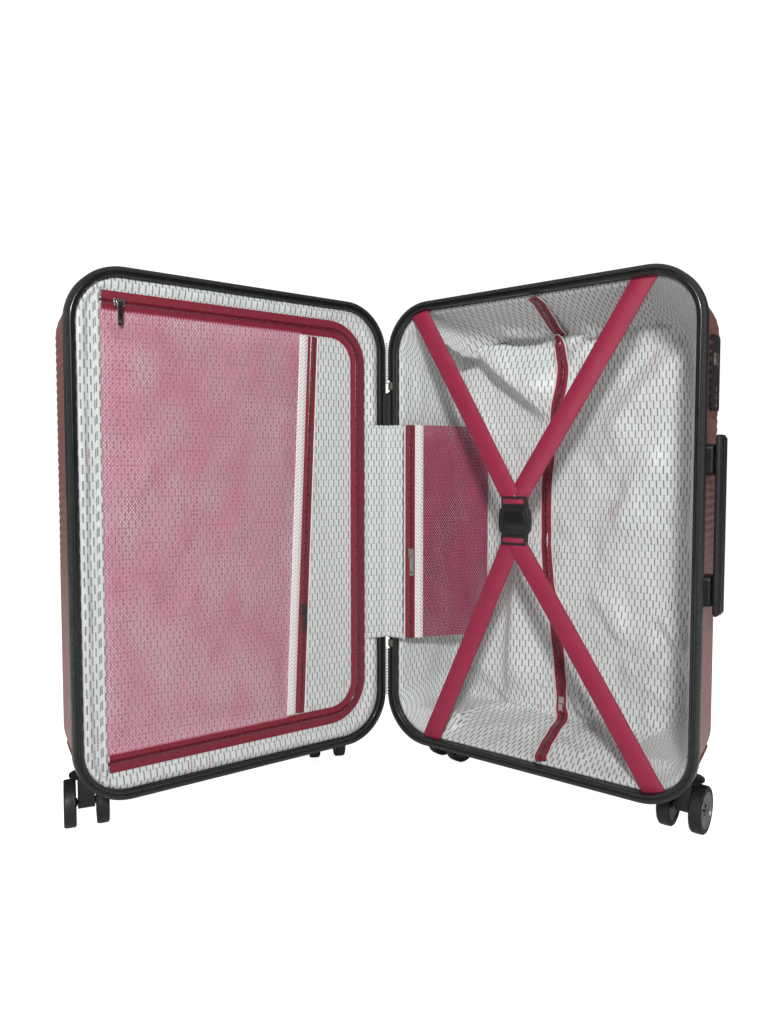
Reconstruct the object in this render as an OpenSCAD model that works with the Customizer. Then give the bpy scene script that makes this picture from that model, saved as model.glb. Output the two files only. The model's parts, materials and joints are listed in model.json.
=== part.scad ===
// Hard-shell spinner suitcase standing open on its wheels, in millimetres.
// The hinge axis is the Z axis and the floor is Z = 0.
// The back half (trolley, lock and handles) lies along +X with its depth along +Y.
// The front half is drawn the same way and then swung open about the hinge.

/* [Case] */
// Width of each half's frame, hinge edge to handle edge
case_w = 491; // [470:1:520]
// Height of each half's frame
case_h = 695; // [680:1:720]
// Depth of each half, frame face to outer panel
half_d = 155; // [150:1:165]
// Outer corner radius of the frame
corner_r = 74; // [70:1:80]
// Height of the frame's bottom edge above the floor
base = 52; // [50:1:58]
// How far the case stands open, in degrees
open_angle = 105; // [70:5:150]

/* [Shell] */
// Thickness of the shell's wall
wall = 3; // [2.4:0.2:3.2]
// Draft of the side walls, in degrees
draft = 5; // [4:0.5:6]
// Radius between the side walls and the outer panel
edge_r = 40; // [34:1:42]

/* [Handles] */
// Length of the side handle's grip
side_grip = 232; // [220:2:240]
// Length of the top handle's grip
top_grip = 210; // [200:2:220]
// Distance between the trolley's two tubes
trolley_pitch = 180; // [160:2:190]

/* [Wheels] */
// Radius of a wheel
wheel_r = 32; // [28:0.5:32]
// Thickness of a wheel
wheel_t = 16; // [14:0.5:17]
// Offset of the wheels' axle from the swivel pin
trail = 12; // [10:0.5:14]

/* [Hidden] */
$fn = 48;
seam = 2;             // from the hinge axis to each frame's edge
frame_in = 12;        // width of the frame's face
frame_d = 14;         // depth of the frame moulding
face_w = 1;           // depth of the frame's face behind the closing plane
shell_in = 4;         // shell's edge, inside the frame's outer edge
shell_w = 5;          // depth at which the shell's edge sits in the frame
back_r = 62;          // corner radius of the shell at its outer panel
panel_in = shell_in + half_d * tan(draft);
gap = 0.3;            // clearance between neighbouring pieces

mid_u = seam + case_w / 2;
out_u = seam + case_w;
top_z = base + case_h;

hinge_lo = base + 165;   // ends of the fabric hinge
hinge_hi = base + 559;
tape_w = 5;              // width of the main zip's tape
tape_lo = 0.3;
tape_hi = 3;

pin_w = 90;              // swivel pins, behind the closing plane
pin_out = 38;            // and in from the handle edge
pin_hinge = 57;          // and in from the hinge edge
pin_r = 5;
pocket = 54;             // half of a wheel pocket
pocket_z = base + 46;    // top of a wheel pocket
ceiling_z = base + 15.5; // underside of the wheel housings
wheel_gap = 21;          // middle of each wheel from the fork's middle
axle_r = 3;
running = 0.05;          // radial running clearance

lining_t = 1.5;
lining_in = frame_in + gap;
floor_in = 42;           // lining floor's outline, in from the frame's edge
back_floor = 134;        // depth of the back half's lining floor
front_floor = 145;
lining_r = 14;            // radius between the lining's walls and floor

border_w = 7;            // front lining's border and divider, depth
cloth_t = 2;
trim_w = 5.2;            // zips and net on the divider
trim_t = 1.4;
div_lo_u = seam + 52;
div_hi_u = seam + 450;
div_lo_z = base + 52;
div_hi_z = base + 650;
div_r = 50;
zip_out = 12;            // divider's zip tape, outside and inside the cut
zip_in = 14;

pz_top = [seam + 133, base + 634];   // pocket zip's ends
pz_low = [seam + 159, base + 68];
pz_tilt = atan((pz_low[0] - pz_top[0]) / (pz_top[1] - pz_low[1]));
pz_len = norm(pz_low - pz_top);
zip_t = 16;                          // width of a small zip's tape

flap_lo = base + 165;
flap_hi = base + 507;
flap_from = [seam + 31, 2.2];        // flap's edge at the frame, u and depth
flap_to = [seam + 112, 128];         // flap's far edge on the lining floor
flap_turn = atan2(flap_to[1] - flap_from[1], flap_to[0] - flap_from[0]);
flap_len = norm(flap_to - flap_from);

buckle_u = seam + 227;
buckle_z = base + 362;
strap_w = 30;

grip_w = 55;                         // side handle's depth
grip_u = seam + 502;                 // outer face of its grip
grip_lo = base + 248;
leg_hi = grip_lo + side_grip - 20;
leg_lo = grip_lo + 20 + 24;
lock_z = base + 559;
lock_w = 64;
dial_r = 8;
dial_pitch = 10;
dial_z = base + 520;

tube_w = 20;
tube_d = 11;
tube_back = half_d - wall - 1;
sleeve_lo = base + 72;               // low end of the trolley's sleeves
trolley_hi = top_z - 45;             // floor of the trolley's cup

shell_c = "#a5685e";
frame_c = "#1f2624";
metal_c = "#b9b9b5";
red_c = "#8a1730";
strap_c = "#b02c50";
cloth_c = "#d8dcda";
net_c = "#c88aa0";
black_c = "#222222";

// ---- helpers -------------------------------------------------------------

// Rectangle with round corners, from its lower left corner
module rounded_rect(w, h, r) {
    translate([r, 0]) square([w - 2 * r, h]);
    translate([0, r]) square([w, h - 2 * r]);
    for (x = [r, w - r], y = [r, h - r]) translate([x, y]) circle(r);
}

// The frame's outline, inset by i, in the plane of the opening
module outline(i) {
    translate([seam + i, base + i])
        rounded_rect(case_w - 2 * i, case_h - 2 * i, corner_r - i);
}

// A flat shape in (width, height), given depth from w0 to w1
module slab(w0, w1) {
    translate([0, w1, 0]) rotate([90, 0, 0]) linear_extrude(w1 - w0) children();
}

// A ring between two insets of the outline
module ring(i0, i1, w0, w1) {
    slab(w0, w1) difference() {
        outline(i0);
        outline(i1);
    }
}

// A box from its lowest to its highest corner
module block(lo, hi) {
    translate(lo) cube(hi - lo);
}

// A disc with a rounded rim, its flat side at the origin and its crown towards +Y
module crown(r, edge) {
    rotate([-90, 0, 0]) rotate_extrude() {
        square([r - edge, edge]);
        translate([r - edge, 0]) intersection() {
            circle(edge);
            square(edge);
        }
    }
}

// A drafted tub: outline inset i0 at depth w0, rounded panel inset i1 at depth w1
module tub(i0, w0, i1, w1, r, edge) {
    hull() {
        slab(w0, w0 + 1) outline(i0, $fn = 64);
        for (x = [seam + i1 + r, out_u - i1 - r], z = [base + i1 + r, top_z - i1 - r])
            translate([x, w1 - edge, z]) crown(r, edge, $fn = 36);
    }
}

// The shell's outer form, grown by g
module shell_form(g) {
    tub(shell_in - g, shell_w - g, panel_in - g, half_d + g, back_r + g, edge_r + g);
}

// Swings a piece of the front half from closed to where it stands open
module on_front() {
    rotate([0, 0, -open_angle]) mirror([0, 1, 0]) children();
}

// Space around each swivel pin, with g of room
module wheel_pockets(g) {
    low = base - 20;
    block([out_u - pin_out - pocket - g, pin_w - pocket - g, low],
          [out_u + 20, pin_w + pocket + g, pocket_z + g]);
    block([seam - 20, pin_w - pocket - g, low],
          [seam + pin_hinge + pocket + g, pin_w + pocket + g, pocket_z + g]);
}

// ---- the two halves' shells and frames -----------------------------------

module shell_half() {
    difference() {
        shell_form(0);
        tub(shell_in + wall, shell_w - 2, panel_in + wall, half_d - wall,
            back_r - wall, edge_r - wall);
        wheel_pockets(0);
    }
}

module back_shell() color(shell_c) {
    difference() {
        shell_half();
        trolley_recess(0);
        handle_holes(gap);
        lock_cut(gap);
    }
}

module front_shell() color(shell_c) on_front() shell_half();

module frame_half() {
    difference() {
        ring(0, frame_in, face_w, frame_d);
        ring(-1, tape_w + 0.2, face_w - 1, tape_hi + 0.2);
        ring(shell_in - 0.3, shell_in + wall + 1.8, shell_w - 0.2, frame_d + 1);
    }
}

module back_frame() color(frame_c) difference() {
    frame_half();
    slider_notches(0.2);
}

module front_frame() color(frame_c) on_front() frame_half();

// The main zip's tape stops at the ends of the fabric hinge
module zip_half() {
    difference() {
        ring(0, tape_w, tape_lo, tape_hi);
        block([-1, -1, hinge_lo - gap], [seam + tape_w + 1, frame_d, hinge_hi + gap]);
    }
}

module back_zip_tape() color(frame_c) difference() {
    zip_half();
    slider_notches(0.2);
}

module front_zip_tape() color(frame_c) on_front() zip_half();

// Fabric hinge: a bead on the hinge axis and a leaf sewn into the back frame
module hinge_strip() color(frame_c) {
    translate([0, 0, hinge_lo]) cylinder(r = 1.7, h = hinge_hi - hinge_lo);
    block([0, 0.4, hinge_lo], [seam + tape_w, 1.6, hinge_hi]);
}

// Room for the main zip's two sliders, parked at the ends of the hinge
module slider_notches(g) {
    for (z = [hinge_hi + 2, hinge_lo - 20])
        block([seam + 0.2 - 3 * g, 0, z - g], [seam + 9 + g, 4.6 + g, z + 18 + g]);
}

module main_sliders() color(metal_c) {
    for (z = [hinge_hi + 2, hinge_lo - 20]) {
        block([seam + 0.2, 0.4, z + 3], [seam + 9, 4.4, z + 15]);
        translate([seam + 4.6, 0.4, z + 9]) rotate([-90, 0, 0]) cylinder(r = 4, h = 4);
    }
}

// ---- corner guards and caster housings -----------------------------------

module guards_half() {
    grow = 3;
    reach = 108;
    guard_z = base + 52;
    difference() {
        intersection() {
            shell_form(grow);
            union() {
                block([out_u - reach, frame_d + 1, base - 10], [out_u + 20, half_d - 8, guard_z]);
                block([seam - 20, frame_d + 1, base - 10],
                      [seam + reach + 14, half_d - 8, guard_z]);
            }
        }
        shell_form(0.15);
        wheel_pockets(0);
    }
}

module back_corner_guards() color(shell_c) guards_half();
module front_corner_guards() color(shell_c) on_front() guards_half();

module housings_half() {
    difference() {
        intersection() {
            shell_form(2.5);
            wheel_pockets(-gap);
        }
        block([-50, -10, base - 30], [out_u + 50, half_d + 20, ceiling_z]);
        for (x = [seam + pin_hinge, out_u - pin_out])
            translate([x, pin_w, base]) cylinder(r = pin_r + running, h = 40);
    }
}

module back_caster_housings() color(black_c) housings_half();
module front_caster_housings() color(black_c) on_front() housings_half();

// ---- casters ---------------------------------------------------------------

// Swivel fork about its pin, with the axle trailing along -Y
module fork() {
    web = 11;
    difference() {
        union() {
            translate([0, 0, ceiling_z - 2.6]) cylinder(r = 22, h = 2.2);
            translate([0, 0, ceiling_z - 1]) cylinder(r = pin_r, h = 22);
            hull() {
                translate([-web, -20, ceiling_z - 3]) cube([2 * web, 34, 1]);
                translate([-web, -trail, wheel_r]) rotate([0, 90, 0])
                    cylinder(r = 9, h = 2 * web);
            }
        }
        translate([-web - 1, -trail, wheel_r]) rotate([0, 90, 0])
            cylinder(r = axle_r + running, h = 2 * web + 2);
    }
}

module wheel_disc() {
    spokes = 6;
    hub_r = 8;
    dish_r = wheel_r - 8;
    difference() {
        rotate([0, 90, 0]) rotate_extrude() translate([0, -wheel_t / 2]) {
            square([wheel_r - 2, wheel_t]);
            translate([0, 2]) square([wheel_r, wheel_t - 4]);
            for (y = [2, wheel_t - 2]) translate([wheel_r - 2, y]) circle(2);
        }
        difference() {
            translate([wheel_t / 2 - 3, 0, 0]) rotate([0, 90, 0]) cylinder(r = dish_r, h = 4);
            rotate([0, 90, 0]) cylinder(r = hub_r, h = wheel_t);
            for (i = [0:spokes - 1]) rotate([i * 360 / spokes, 0, 0])
                translate([0, -2, 0]) cube([wheel_t, 4, dish_r + 1]);
        }
    }
}

// Two wheels on one axle, which turns in the fork
module wheel_pair() {
    translate([wheel_gap, 0, 0]) wheel_disc();
    mirror([1, 0, 0]) translate([wheel_gap, 0, 0]) wheel_disc();
    rotate([0, 90, 0]) cylinder(r = axle_r, h = 2 * wheel_gap, center = true);
}

// Places a caster by its pin's place and the turn of its fork
module at_caster(u, turn) {
    translate([u, pin_w, 0]) rotate([0, 0, turn]) children();
}

CASTERS = [
    ["back_outer", out_u - pin_out, 1, false],
    ["back_hinge", seam + pin_hinge, 170, false],
    ["front_outer", out_u - pin_out, 14, true],
    ["front_hinge", seam + pin_hinge, 205, true]
];

module placed(front) {
    if (front) on_front() children();
    else children();
}

module caster_fork(c) color(black_c)
    placed(c[3]) at_caster(c[1], c[2]) fork();

module caster_wheels(c) color(black_c)
    placed(c[3]) at_caster(c[1], c[2]) translate([0, -trail, wheel_r]) wheel_pair();

// ---- trolley ---------------------------------------------------------------

module trolley_recess(g) {
    half = trolley_pitch / 2 + 30;
    block([mid_u - half - g, tube_back - 22 - g, trolley_hi - g],
          [mid_u + half + g, half_d + 10, top_z + 20]);
    for (s = [-1, 1])
        block([mid_u + s * trolley_pitch / 2 - tube_w / 2 - 3, tube_back - tube_d - 3, sleeve_lo - 12],
              [mid_u + s * trolley_pitch / 2 + tube_w / 2 + 3, tube_back, trolley_hi + 1]);
}

module tube_pair(g, z0, z1) {
    for (s = [-1, 1])
        block([mid_u + s * trolley_pitch / 2 - tube_w / 2 + g, tube_back - tube_d + g, z0],
              [mid_u + s * trolley_pitch / 2 + tube_w / 2 - g, tube_back - g, z1]);
}

module trolley_sleeves() color(metal_c) difference() {
    tube_pair(0, sleeve_lo, trolley_hi - gap);
    tube_pair(1, sleeve_lo - 1, trolley_hi + 1);
}

module trolley_base() color(black_c) difference() {
    half = trolley_pitch / 2 + 22;
    block([mid_u - half, tube_back - tube_d - 3, sleeve_lo - 10],
          [mid_u + half, tube_back, sleeve_lo + 16]);
    tube_pair(-gap, sleeve_lo - gap, sleeve_lo + 20);
}

module trolley_cup() color(black_c) difference() {
    intersection() {
        trolley_recess(-gap);
        block([0, 0, trolley_hi], [out_u, half_d + 1, top_z]);
        shell_form(0);
    }
    block([mid_u - trolley_pitch / 2 - 25, tube_back - 18, trolley_hi + 3],
          [mid_u + trolley_pitch / 2 + 25, half_d - 2.5, top_z + 20]);
    tube_pair(0.5, trolley_hi - 2, trolley_hi + 10);
}

module trolley_tubes() color(metal_c)
    tube_pair(1.5, sleeve_lo + 4, trolley_hi + 8);

module trolley_grip() color(black_c) difference() {
    half = trolley_pitch / 2 + 22;
    translate([mid_u, tube_back - 8, trolley_hi + 17]) rotate([0, 90, 0])
        intersection() {
            cylinder(r = 12, h = 2 * half, center = true);
            cube([24, 17, 2 * half], center = true);
        }
    tube_pair(1.5 - gap, trolley_hi, trolley_hi + 8 + gap);
    block([mid_u - 16, tube_back - 15, trolley_hi + 20],
          [mid_u + 16, tube_back - 1, trolley_hi + 40]);
}

module trolley_button() color(metal_c)
    block([mid_u - 15.5, tube_back - 14.5, trolley_hi + 24],
          [mid_u + 15.5, tube_back - 1.5, trolley_hi + 30]);

// ---- carry handles ---------------------------------------------------------

// One mount: a rounded block with a slot for the grip's leg; its outside is +Z
module handle_mount(w, l) {
    difference() {
        translate([-w / 2, -l / 2, -11.4]) linear_extrude(20.4) rounded_rect(w, l, 6);
        translate([-7.5, -11, -20]) cube([15, 22, 40]);
    }
}

// A grip with two legs, its outer face at z = 0; pitch is between the legs
module handle_grip(len, pitch, reach) {
    for (s = [-1, 1]) translate([-7, s * pitch / 2 - 10.5, -reach]) cube([14, 21, reach - 4]);
    hull() {
        translate([-13, -len / 2 + 4, -9]) cube([26, len - 8, 1]);
        translate([-13, -len / 2, -7]) cube([26, len, 3]);
        translate([-9, -len / 2 + 5, -1]) cube([18, len - 10, 1]);
    }
}

// Puts a handle's own frame on the side wall: its +Z outwards, its +Y up
module at_side_handle(out) {
    translate([out, grip_w, grip_lo + side_grip / 2]) rotate([90, 0, 90]) children();
}

// and on the top wall: its +Z up, its +Y along the case's width
module at_top_handle(up) {
    translate([mid_u, grip_w, up]) rotate([0, 0, 90]) children();
}

side_pitch = 168;
side_wall_u = out_u - shell_in - grip_w * tan(draft);
top_pitch = top_grip - 46;
top_wall_z = top_z - shell_in - grip_w * tan(draft);
mount_w = 34;
mount_l = 40;

module mounts_side() at_side_handle(side_wall_u)
    for (s = [-1, 1]) translate([0, s * side_pitch / 2, 0]) children();

module mounts_top() at_top_handle(top_wall_z)
    for (s = [-1, 1]) translate([0, s * top_pitch / 2, 0]) children();

module handle_holes(g) {
    mounts_side() translate([-mount_w / 2 - g, -mount_l / 2 - g, -30])
        cube([mount_w + 2 * g, mount_l + 2 * g, 60]);
    mounts_top() translate([-mount_w / 2 - g, -mount_l / 2 - g, -30])
        cube([mount_w + 2 * g, mount_l + 2 * g, 60]);
}

module side_handle_mounts() color(black_c) mounts_side() handle_mount(mount_w, mount_l);
module top_handle_mounts() color(black_c) mounts_top() handle_mount(mount_w, mount_l);

module side_handle_grip() color(black_c)
    at_side_handle(grip_u) handle_grip(side_grip, side_pitch, 32);

module top_handle_grip() color(black_c)
    at_top_handle(top_wall_z + 19) handle_grip(top_grip, top_pitch, 32);

// ---- combination lock --------------------------------------------------------

lock_l = 97;
lock_b = 33;
lock_u = out_u - shell_in - lock_w * tan(draft) + 3;

module lock_cut(g) {
    block([lock_u - 22, lock_w - lock_b / 2 + 2 - g, lock_z - lock_l / 2 + 2 - g],
          [lock_u + 20, lock_w + lock_b / 2 - 2 + g, lock_z + lock_l / 2 - 2 + g]);
}

module lock_body() color(black_c) difference() {
    union() {
        block([lock_u - 17, lock_w - lock_b / 2 + 2, lock_z - lock_l / 2 + 2],
              [lock_u - 1, lock_w + lock_b / 2 - 2, lock_z + lock_l / 2 - 2]);
        translate([lock_u - 1.5, lock_w - lock_b / 2, lock_z - lock_l / 2])
            rotate([90, 0, 90]) linear_extrude(3) rounded_rect(lock_b, lock_l, 6);
    }
    for (i = [0:2]) translate([lock_u - 6, lock_w + 3, dial_z + i * dial_pitch - 4])
        cylinder(r = dial_r + 0.6, h = 8);
    translate([lock_u - 6, lock_w + 3, dial_z - 8])
        cylinder(r = 1.5 + running, h = 2 * dial_pitch + 16);
    block([lock_u - 9, lock_w - 7 - gap, lock_z + 10 - gap],
          [lock_u + 3, lock_w + 7 + gap, lock_z + 26 + gap]);
    for (z = [-1, 1]) block([lock_u - 10, lock_w - 12, lock_z + 2 + z * 3 - 2],
                            [lock_u + 3, lock_w - 9, lock_z + 2 + z * 3 + 1]);
}

module lock_dial(i) color(metal_c)
    translate([lock_u - 6, lock_w + 3, dial_z + i * dial_pitch - 3.6]) {
        cylinder(r = 1.5, h = 7.2);
        difference() {
            cylinder(r = dial_r, h = 7.2);
            for (a = [0:36:324]) rotate([0, 0, a]) translate([dial_r + 0.7, 0, -1])
                cylinder(r = 1.2, h = 10, $fn = 16);
        }
    }

module lock_button() color(metal_c)
    block([lock_u - 5, lock_w - 7, lock_z + 10], [lock_u + 2.5, lock_w + 7, lock_z + 26]);

// ---- linings -----------------------------------------------------------------

module lining_form(g, depth) {
    tub(lining_in + g, 2, floor_in + g, depth - g, 58 - g, lining_r - g);
}

module lining_half(depth) {
    difference() {
        lining_form(0, depth);
        difference() {
            hull() {
                lining_form(lining_t, depth);
                slab(0, 1) outline(lining_in + lining_t);
            }
            wheel_pockets(1 + lining_t);
        }
        wheel_pockets(1);
    }
}

module back_lining() color(cloth_c) lining_half(back_floor);

// Band of zip on the inside of the back lining, down its middle
module lining_zip() color(red_c) {
    in = lining_t + 0.4;
    intersection() {
        block([mid_u - zip_t / 2, 6, base + 22], [mid_u + zip_t / 2, half_d, top_z - 22]);
        difference() {
            lining_form(in, back_floor);
            hull() {
                lining_form(in + 1, back_floor);
                slab(0, 1) outline(lining_in + in + 1);
            }
        }
    }
}

module front_lining() color(cloth_c) on_front() lining_half(front_floor);

// Flat border that the divider is zipped and sewn to
module divider_border() color(cloth_c) on_front()
    slab(border_w, border_w + cloth_t) difference() {
        outline(lining_in + lining_t + 2);
        divider_shape(1);
    }

// ---- divider -----------------------------------------------------------------

module divider_shape(g) {
    low = [div_lo_u - g, div_lo_z - g];
    size = [div_hi_u - div_lo_u + 2 * g, div_hi_z - div_lo_z + 2 * g];
    translate(low) rounded_rect(size[0], size[1], div_r + g);
    translate(low + [div_r + g, 0]) square([size[0] - div_r - g, size[1]]);
}

module divider_panel() color(cloth_c) on_front()
    slab(border_w, border_w + cloth_t) divider_shape(0);

// U of zip tape round the divider's top, hinge side and bottom
module divider_zip() color(red_c) on_front()
    slab(trim_w, trim_w + trim_t) difference() {
        divider_shape(zip_out);
        divider_shape(-zip_in);
        translate([div_hi_u - 6, 0]) square([60, top_z]);
    }

// A strip along the pocket zip, from u0 to u1 off its middle
module pocket_strip(u0, u1) {
    translate([pz_low[0], pz_low[1]]) rotate(pz_tilt)
        translate([u0, 0]) square([u1 - u0, pz_len]);
}

module pocket_zip() color(red_c) on_front()
    slab(trim_w, trim_w + trim_t) pocket_strip(-zip_t / 2, zip_t / 2);

module pocket_binding() color("white") on_front()
    slab(trim_w, trim_w + trim_t) pocket_strip(zip_t / 2 + gap, zip_t / 2 + 14);

module divider_net() color(net_c) on_front()
    slab(trim_w, trim_w + trim_t) intersection() {
        translate([pz_low[0], pz_low[1]]) rotate(pz_tilt)
            translate([zip_t / 2 + 14 + gap, -80]) square([500, pz_len + 160]);
        difference() {
            divider_shape(-zip_in - gap);
            translate([div_hi_u - 8, 0]) square([60, top_z]);
        }
    }

// ---- small zip sliders ---------------------------------------------------------

// Slider body: runs along Z, its face towards -Y, its back at y = 0
module slider_body() {
    linear_extrude(14) polygon([[-4, 0], [4, 0], [5, -1], [4, -2.4], [-4, -2.4], [-5, -1]]);
    translate([-1.5, -2.6, 3]) cube([3, 0.8, 8]);
}

pull_off = 3.6;            // a pull's pivot in front of its slider's back

// Pull tab hanging below its pivot at the origin, its face towards -Y
module pull_tab(len) {
    difference() {
        translate([-3.5, -1.1, -len]) cube([7, 1, len]);
        translate([0, 1, -len + 5]) rotate([90, 0, 0]) cylinder(r = 1.8, h = 4);
    }
}

div_pull = [seam + 423, base + 650];
pocket_at = 150;          // pocket slider, up from the low end of its zip
flap_at = base + 296;
flap_face = -1.8;         // in front of the flap's zip
lining_at = base + 66;
lining_face = back_floor - lining_t - 1.9;   // in front of the lining's zip

module on_pocket_zip(up) {
    translate([pz_low[0], trim_w - gap, pz_low[1]]) rotate([0, -pz_tilt, 0])
        translate([0, 0, up]) children();
}

module pocket_slider() color(metal_c) on_front() on_pocket_zip(pocket_at) slider_body();
module pocket_pull() color(metal_c) on_front() on_pocket_zip(pocket_at + 3)
    translate([0, -pull_off, 0]) pull_tab(27);

module divider_slider() color(metal_c) on_front()
    translate([div_pull[0] + 7, trim_w - gap, div_pull[1]]) rotate([0, -90, 0]) slider_body();
module divider_pull() color(metal_c) on_front()
    translate([div_pull[0], trim_w - gap - pull_off, div_pull[1]]) pull_tab(30);

module lining_slider() color(metal_c)
    translate([mid_u, lining_face, lining_at]) slider_body();
module lining_pull() color(metal_c)
    translate([mid_u, lining_face - pull_off, lining_at + 3]) pull_tab(20);

// ---- hinge flap ------------------------------------------------------------------

// The flap's own frame: +X from the frame's edge to the lining floor, -Y to the front
module on_flap(z) {
    translate([flap_from[0], flap_from[1], z]) rotate([0, 0, flap_turn]) children();
}

module hinge_flap() color(net_c) {
    on_flap(flap_lo) block([0, 0, 0], [flap_len, 1.2, flap_hi - flap_lo]);
    block([seam + 6, 0.3, flap_lo], [seam + 30, 0.9, flap_hi]);
}

module flap_lid_edge() color(cloth_c) on_front()
    block([seam + 6, 0.3, flap_lo], [seam + 32, 0.9, flap_hi]);

module flap_zip() color(red_c)
    on_flap(flap_lo) block([3, -1.5, 1], [3 + zip_t, -0.2, flap_hi - flap_lo - 1]);

module flap_slider() color(metal_c)
    on_flap(flap_at) translate([3 + zip_t / 2, flap_face, 0]) slider_body();

module flap_pull() color(metal_c)
    on_flap(flap_at + 3) translate([3 + zip_t / 2, flap_face - pull_off, 0]) pull_tab(32);

// ---- compression straps ------------------------------------------------------------

// A flat strap from a corner of the opening to the buckle's bar
module strap(from, to, w0) {
    run = to - from;
    slab(w0, w0 + 1.4) translate(from) rotate(atan2(run[1], run[0]))
        translate([0, -strap_w / 2]) square([norm(run), strap_w]);
}

STRAPS = [
    [[66, 664], [-6, 40], 6], [[404, 671], [5, 40], 8],
    [[92, 38], [-6, -38], 8], [[419, 41], [5, -38], 6]
];

module compression_straps() color(strap_c)
    for (s = STRAPS)
        strap([seam + s[0][0], base + s[0][1]], [buckle_u + s[1][0], buckle_z + s[1][1]], s[2]);

// Buckle in its own frame: centre at the origin, face towards -Y
module at_buckle() translate([buckle_u, 4, buckle_z]) children();

module ladder_bar(z0, z1) {
    difference() {
        block([-21, 0, z0], [21, 9, z1]);
        block([-17, -1, z0 + 4], [17, 10, z1 - 4]);
    }
}

module buckle_socket() color(black_c) at_buckle() {
    difference() {
        union() {
            translate([-24, 11, -19]) rotate([90, 0, 0]) linear_extrude(11.5)
                rounded_rect(48, 38, 9);
            ladder_bar(-36, -19);
        }
        block([-14, 2, -12], [14, 8, 20]);
        for (s = [-1, 1]) block([s * 21 - 4, 2.5, -8], [s * 21 + 4, 7.5, 9]);
    }
}

module buckle_plug() color(black_c) at_buckle() {
    ladder_bar(19.3, 35);
    block([-13, 3, -10], [13, 7, 21]);
}

// ---- screws ------------------------------------------------------------------------

module screw(len) {
    cylinder(r = 3, h = 1.8);
    translate([0, 0, 1.5]) cylinder(r = 1.5, h = len);
}

// Screws under the linings that hold the trolley's base and the lock
module case_screws() color(metal_c) {
    for (s = [-1, 1]) translate([mid_u + s * (trolley_pitch / 2 - 26), tube_back - tube_d - 4.9, sleeve_lo + 3])
        rotate([-90, 0, 0]) screw(1.5);
    for (s = [-1, 1]) translate([lock_u - 18.9, lock_w, lock_z + s * 36])
        rotate([0, 90, 0]) screw(1.5);
}

// ---- the assembly --------------------------------------------------------------------

back_shell();
back_frame();
back_zip_tape();
back_lining();
back_corner_guards();
back_caster_housings();
trolley_sleeves();
trolley_base();
trolley_cup();
side_handle_mounts();
top_handle_mounts();
lock_body();
compression_straps();
buckle_socket();
buckle_plug();
hinge_flap();
flap_zip();
lining_zip();
hinge_strip();
main_sliders();
case_screws();
trolley_tubes();
trolley_grip();
trolley_button();
side_handle_grip();
top_handle_grip();
lock_dial(0);  // lock_dial_1
lock_dial(1);  // lock_dial_2
lock_dial(2);  // lock_dial_3
lock_button();
lining_slider();
lining_pull();
flap_slider();
flap_pull();
front_shell();
front_frame();
front_zip_tape();
front_lining();
front_corner_guards();
front_caster_housings();
flap_lid_edge();
divider_border();
divider_panel();
divider_net();
pocket_zip();
pocket_binding();
divider_zip();
pocket_slider();
pocket_pull();
divider_slider();
divider_pull();
for (c = CASTERS) {
    caster_fork(c);
    caster_wheels(c);
}
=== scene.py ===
import json
import math

import bmesh
import bpy
import numpy as np
from mathutils import Matrix, Vector


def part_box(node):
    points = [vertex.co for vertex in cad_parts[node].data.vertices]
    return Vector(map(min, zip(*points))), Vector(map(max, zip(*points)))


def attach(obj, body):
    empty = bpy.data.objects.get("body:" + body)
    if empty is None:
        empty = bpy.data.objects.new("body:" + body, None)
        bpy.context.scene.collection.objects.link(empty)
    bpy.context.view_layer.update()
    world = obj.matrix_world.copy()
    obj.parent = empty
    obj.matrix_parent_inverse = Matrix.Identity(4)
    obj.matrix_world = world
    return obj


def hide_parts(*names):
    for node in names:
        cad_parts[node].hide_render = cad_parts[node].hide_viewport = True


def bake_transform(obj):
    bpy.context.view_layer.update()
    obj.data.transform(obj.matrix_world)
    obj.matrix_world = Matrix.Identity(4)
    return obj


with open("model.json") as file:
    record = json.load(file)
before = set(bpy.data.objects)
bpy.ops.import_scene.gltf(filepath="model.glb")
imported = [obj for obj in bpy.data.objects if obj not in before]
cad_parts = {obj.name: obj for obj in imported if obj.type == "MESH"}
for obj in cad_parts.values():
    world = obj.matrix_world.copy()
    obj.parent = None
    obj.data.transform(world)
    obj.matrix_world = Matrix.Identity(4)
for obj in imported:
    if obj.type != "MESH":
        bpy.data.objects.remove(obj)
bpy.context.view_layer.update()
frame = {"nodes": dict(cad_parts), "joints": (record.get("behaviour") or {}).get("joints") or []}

# ---- sizes, in millimetres --------------------------------------------------------------------
# Each half is drawn closed: u runs from the hinge to the handle edge, w back from the closing
# plane and z up from the floor.

MM = 0.001
low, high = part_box("back_frame")
seam, base = low.x / MM, low.z / MM
out_u, top_z = high.x / MM, high.z / MM
half_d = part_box("back_shell")[1].y / MM
mid_u, mid_z = (seam + out_u) / 2, (base + top_z) / 2
joints = {j["name"]: j for j in frame["joints"]}
open_angle = -joints["lid_hinge"]["range_deg"][0]

corner_r = 74
draft = math.tan(math.radians(5))
shell_in = 4
shell_w = 5
edge_r = 40
panel_in = shell_in + half_d * draft
shell_corner = 62 + panel_in

hinge_lo, hinge_hi = base + 165, base + 559
back_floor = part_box("back_lining")[1].y / MM - 1
front_floor = 144
lining_in = 12.3
floor_in = 43
turns_cut = 60          # what the turns into the floor and the rims save of a lining's cut

div_u = (seam + 52, seam + 450)
div_z = (base + 52, base + 650)
div_r = 50
border_w = 7
trim_w = 5.6
pz_top = (seam + 133, div_z[1] - 14)
pz_low = (seam + 159, div_z[0] + 14)

flap_z = (base + 165, base + 507)
flap_from = (seam + 31, 1.6)
flap_to = (seam + 112, 128)

buckle_u, buckle_z = seam + 227, base + 362
strap_width = 30

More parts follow.
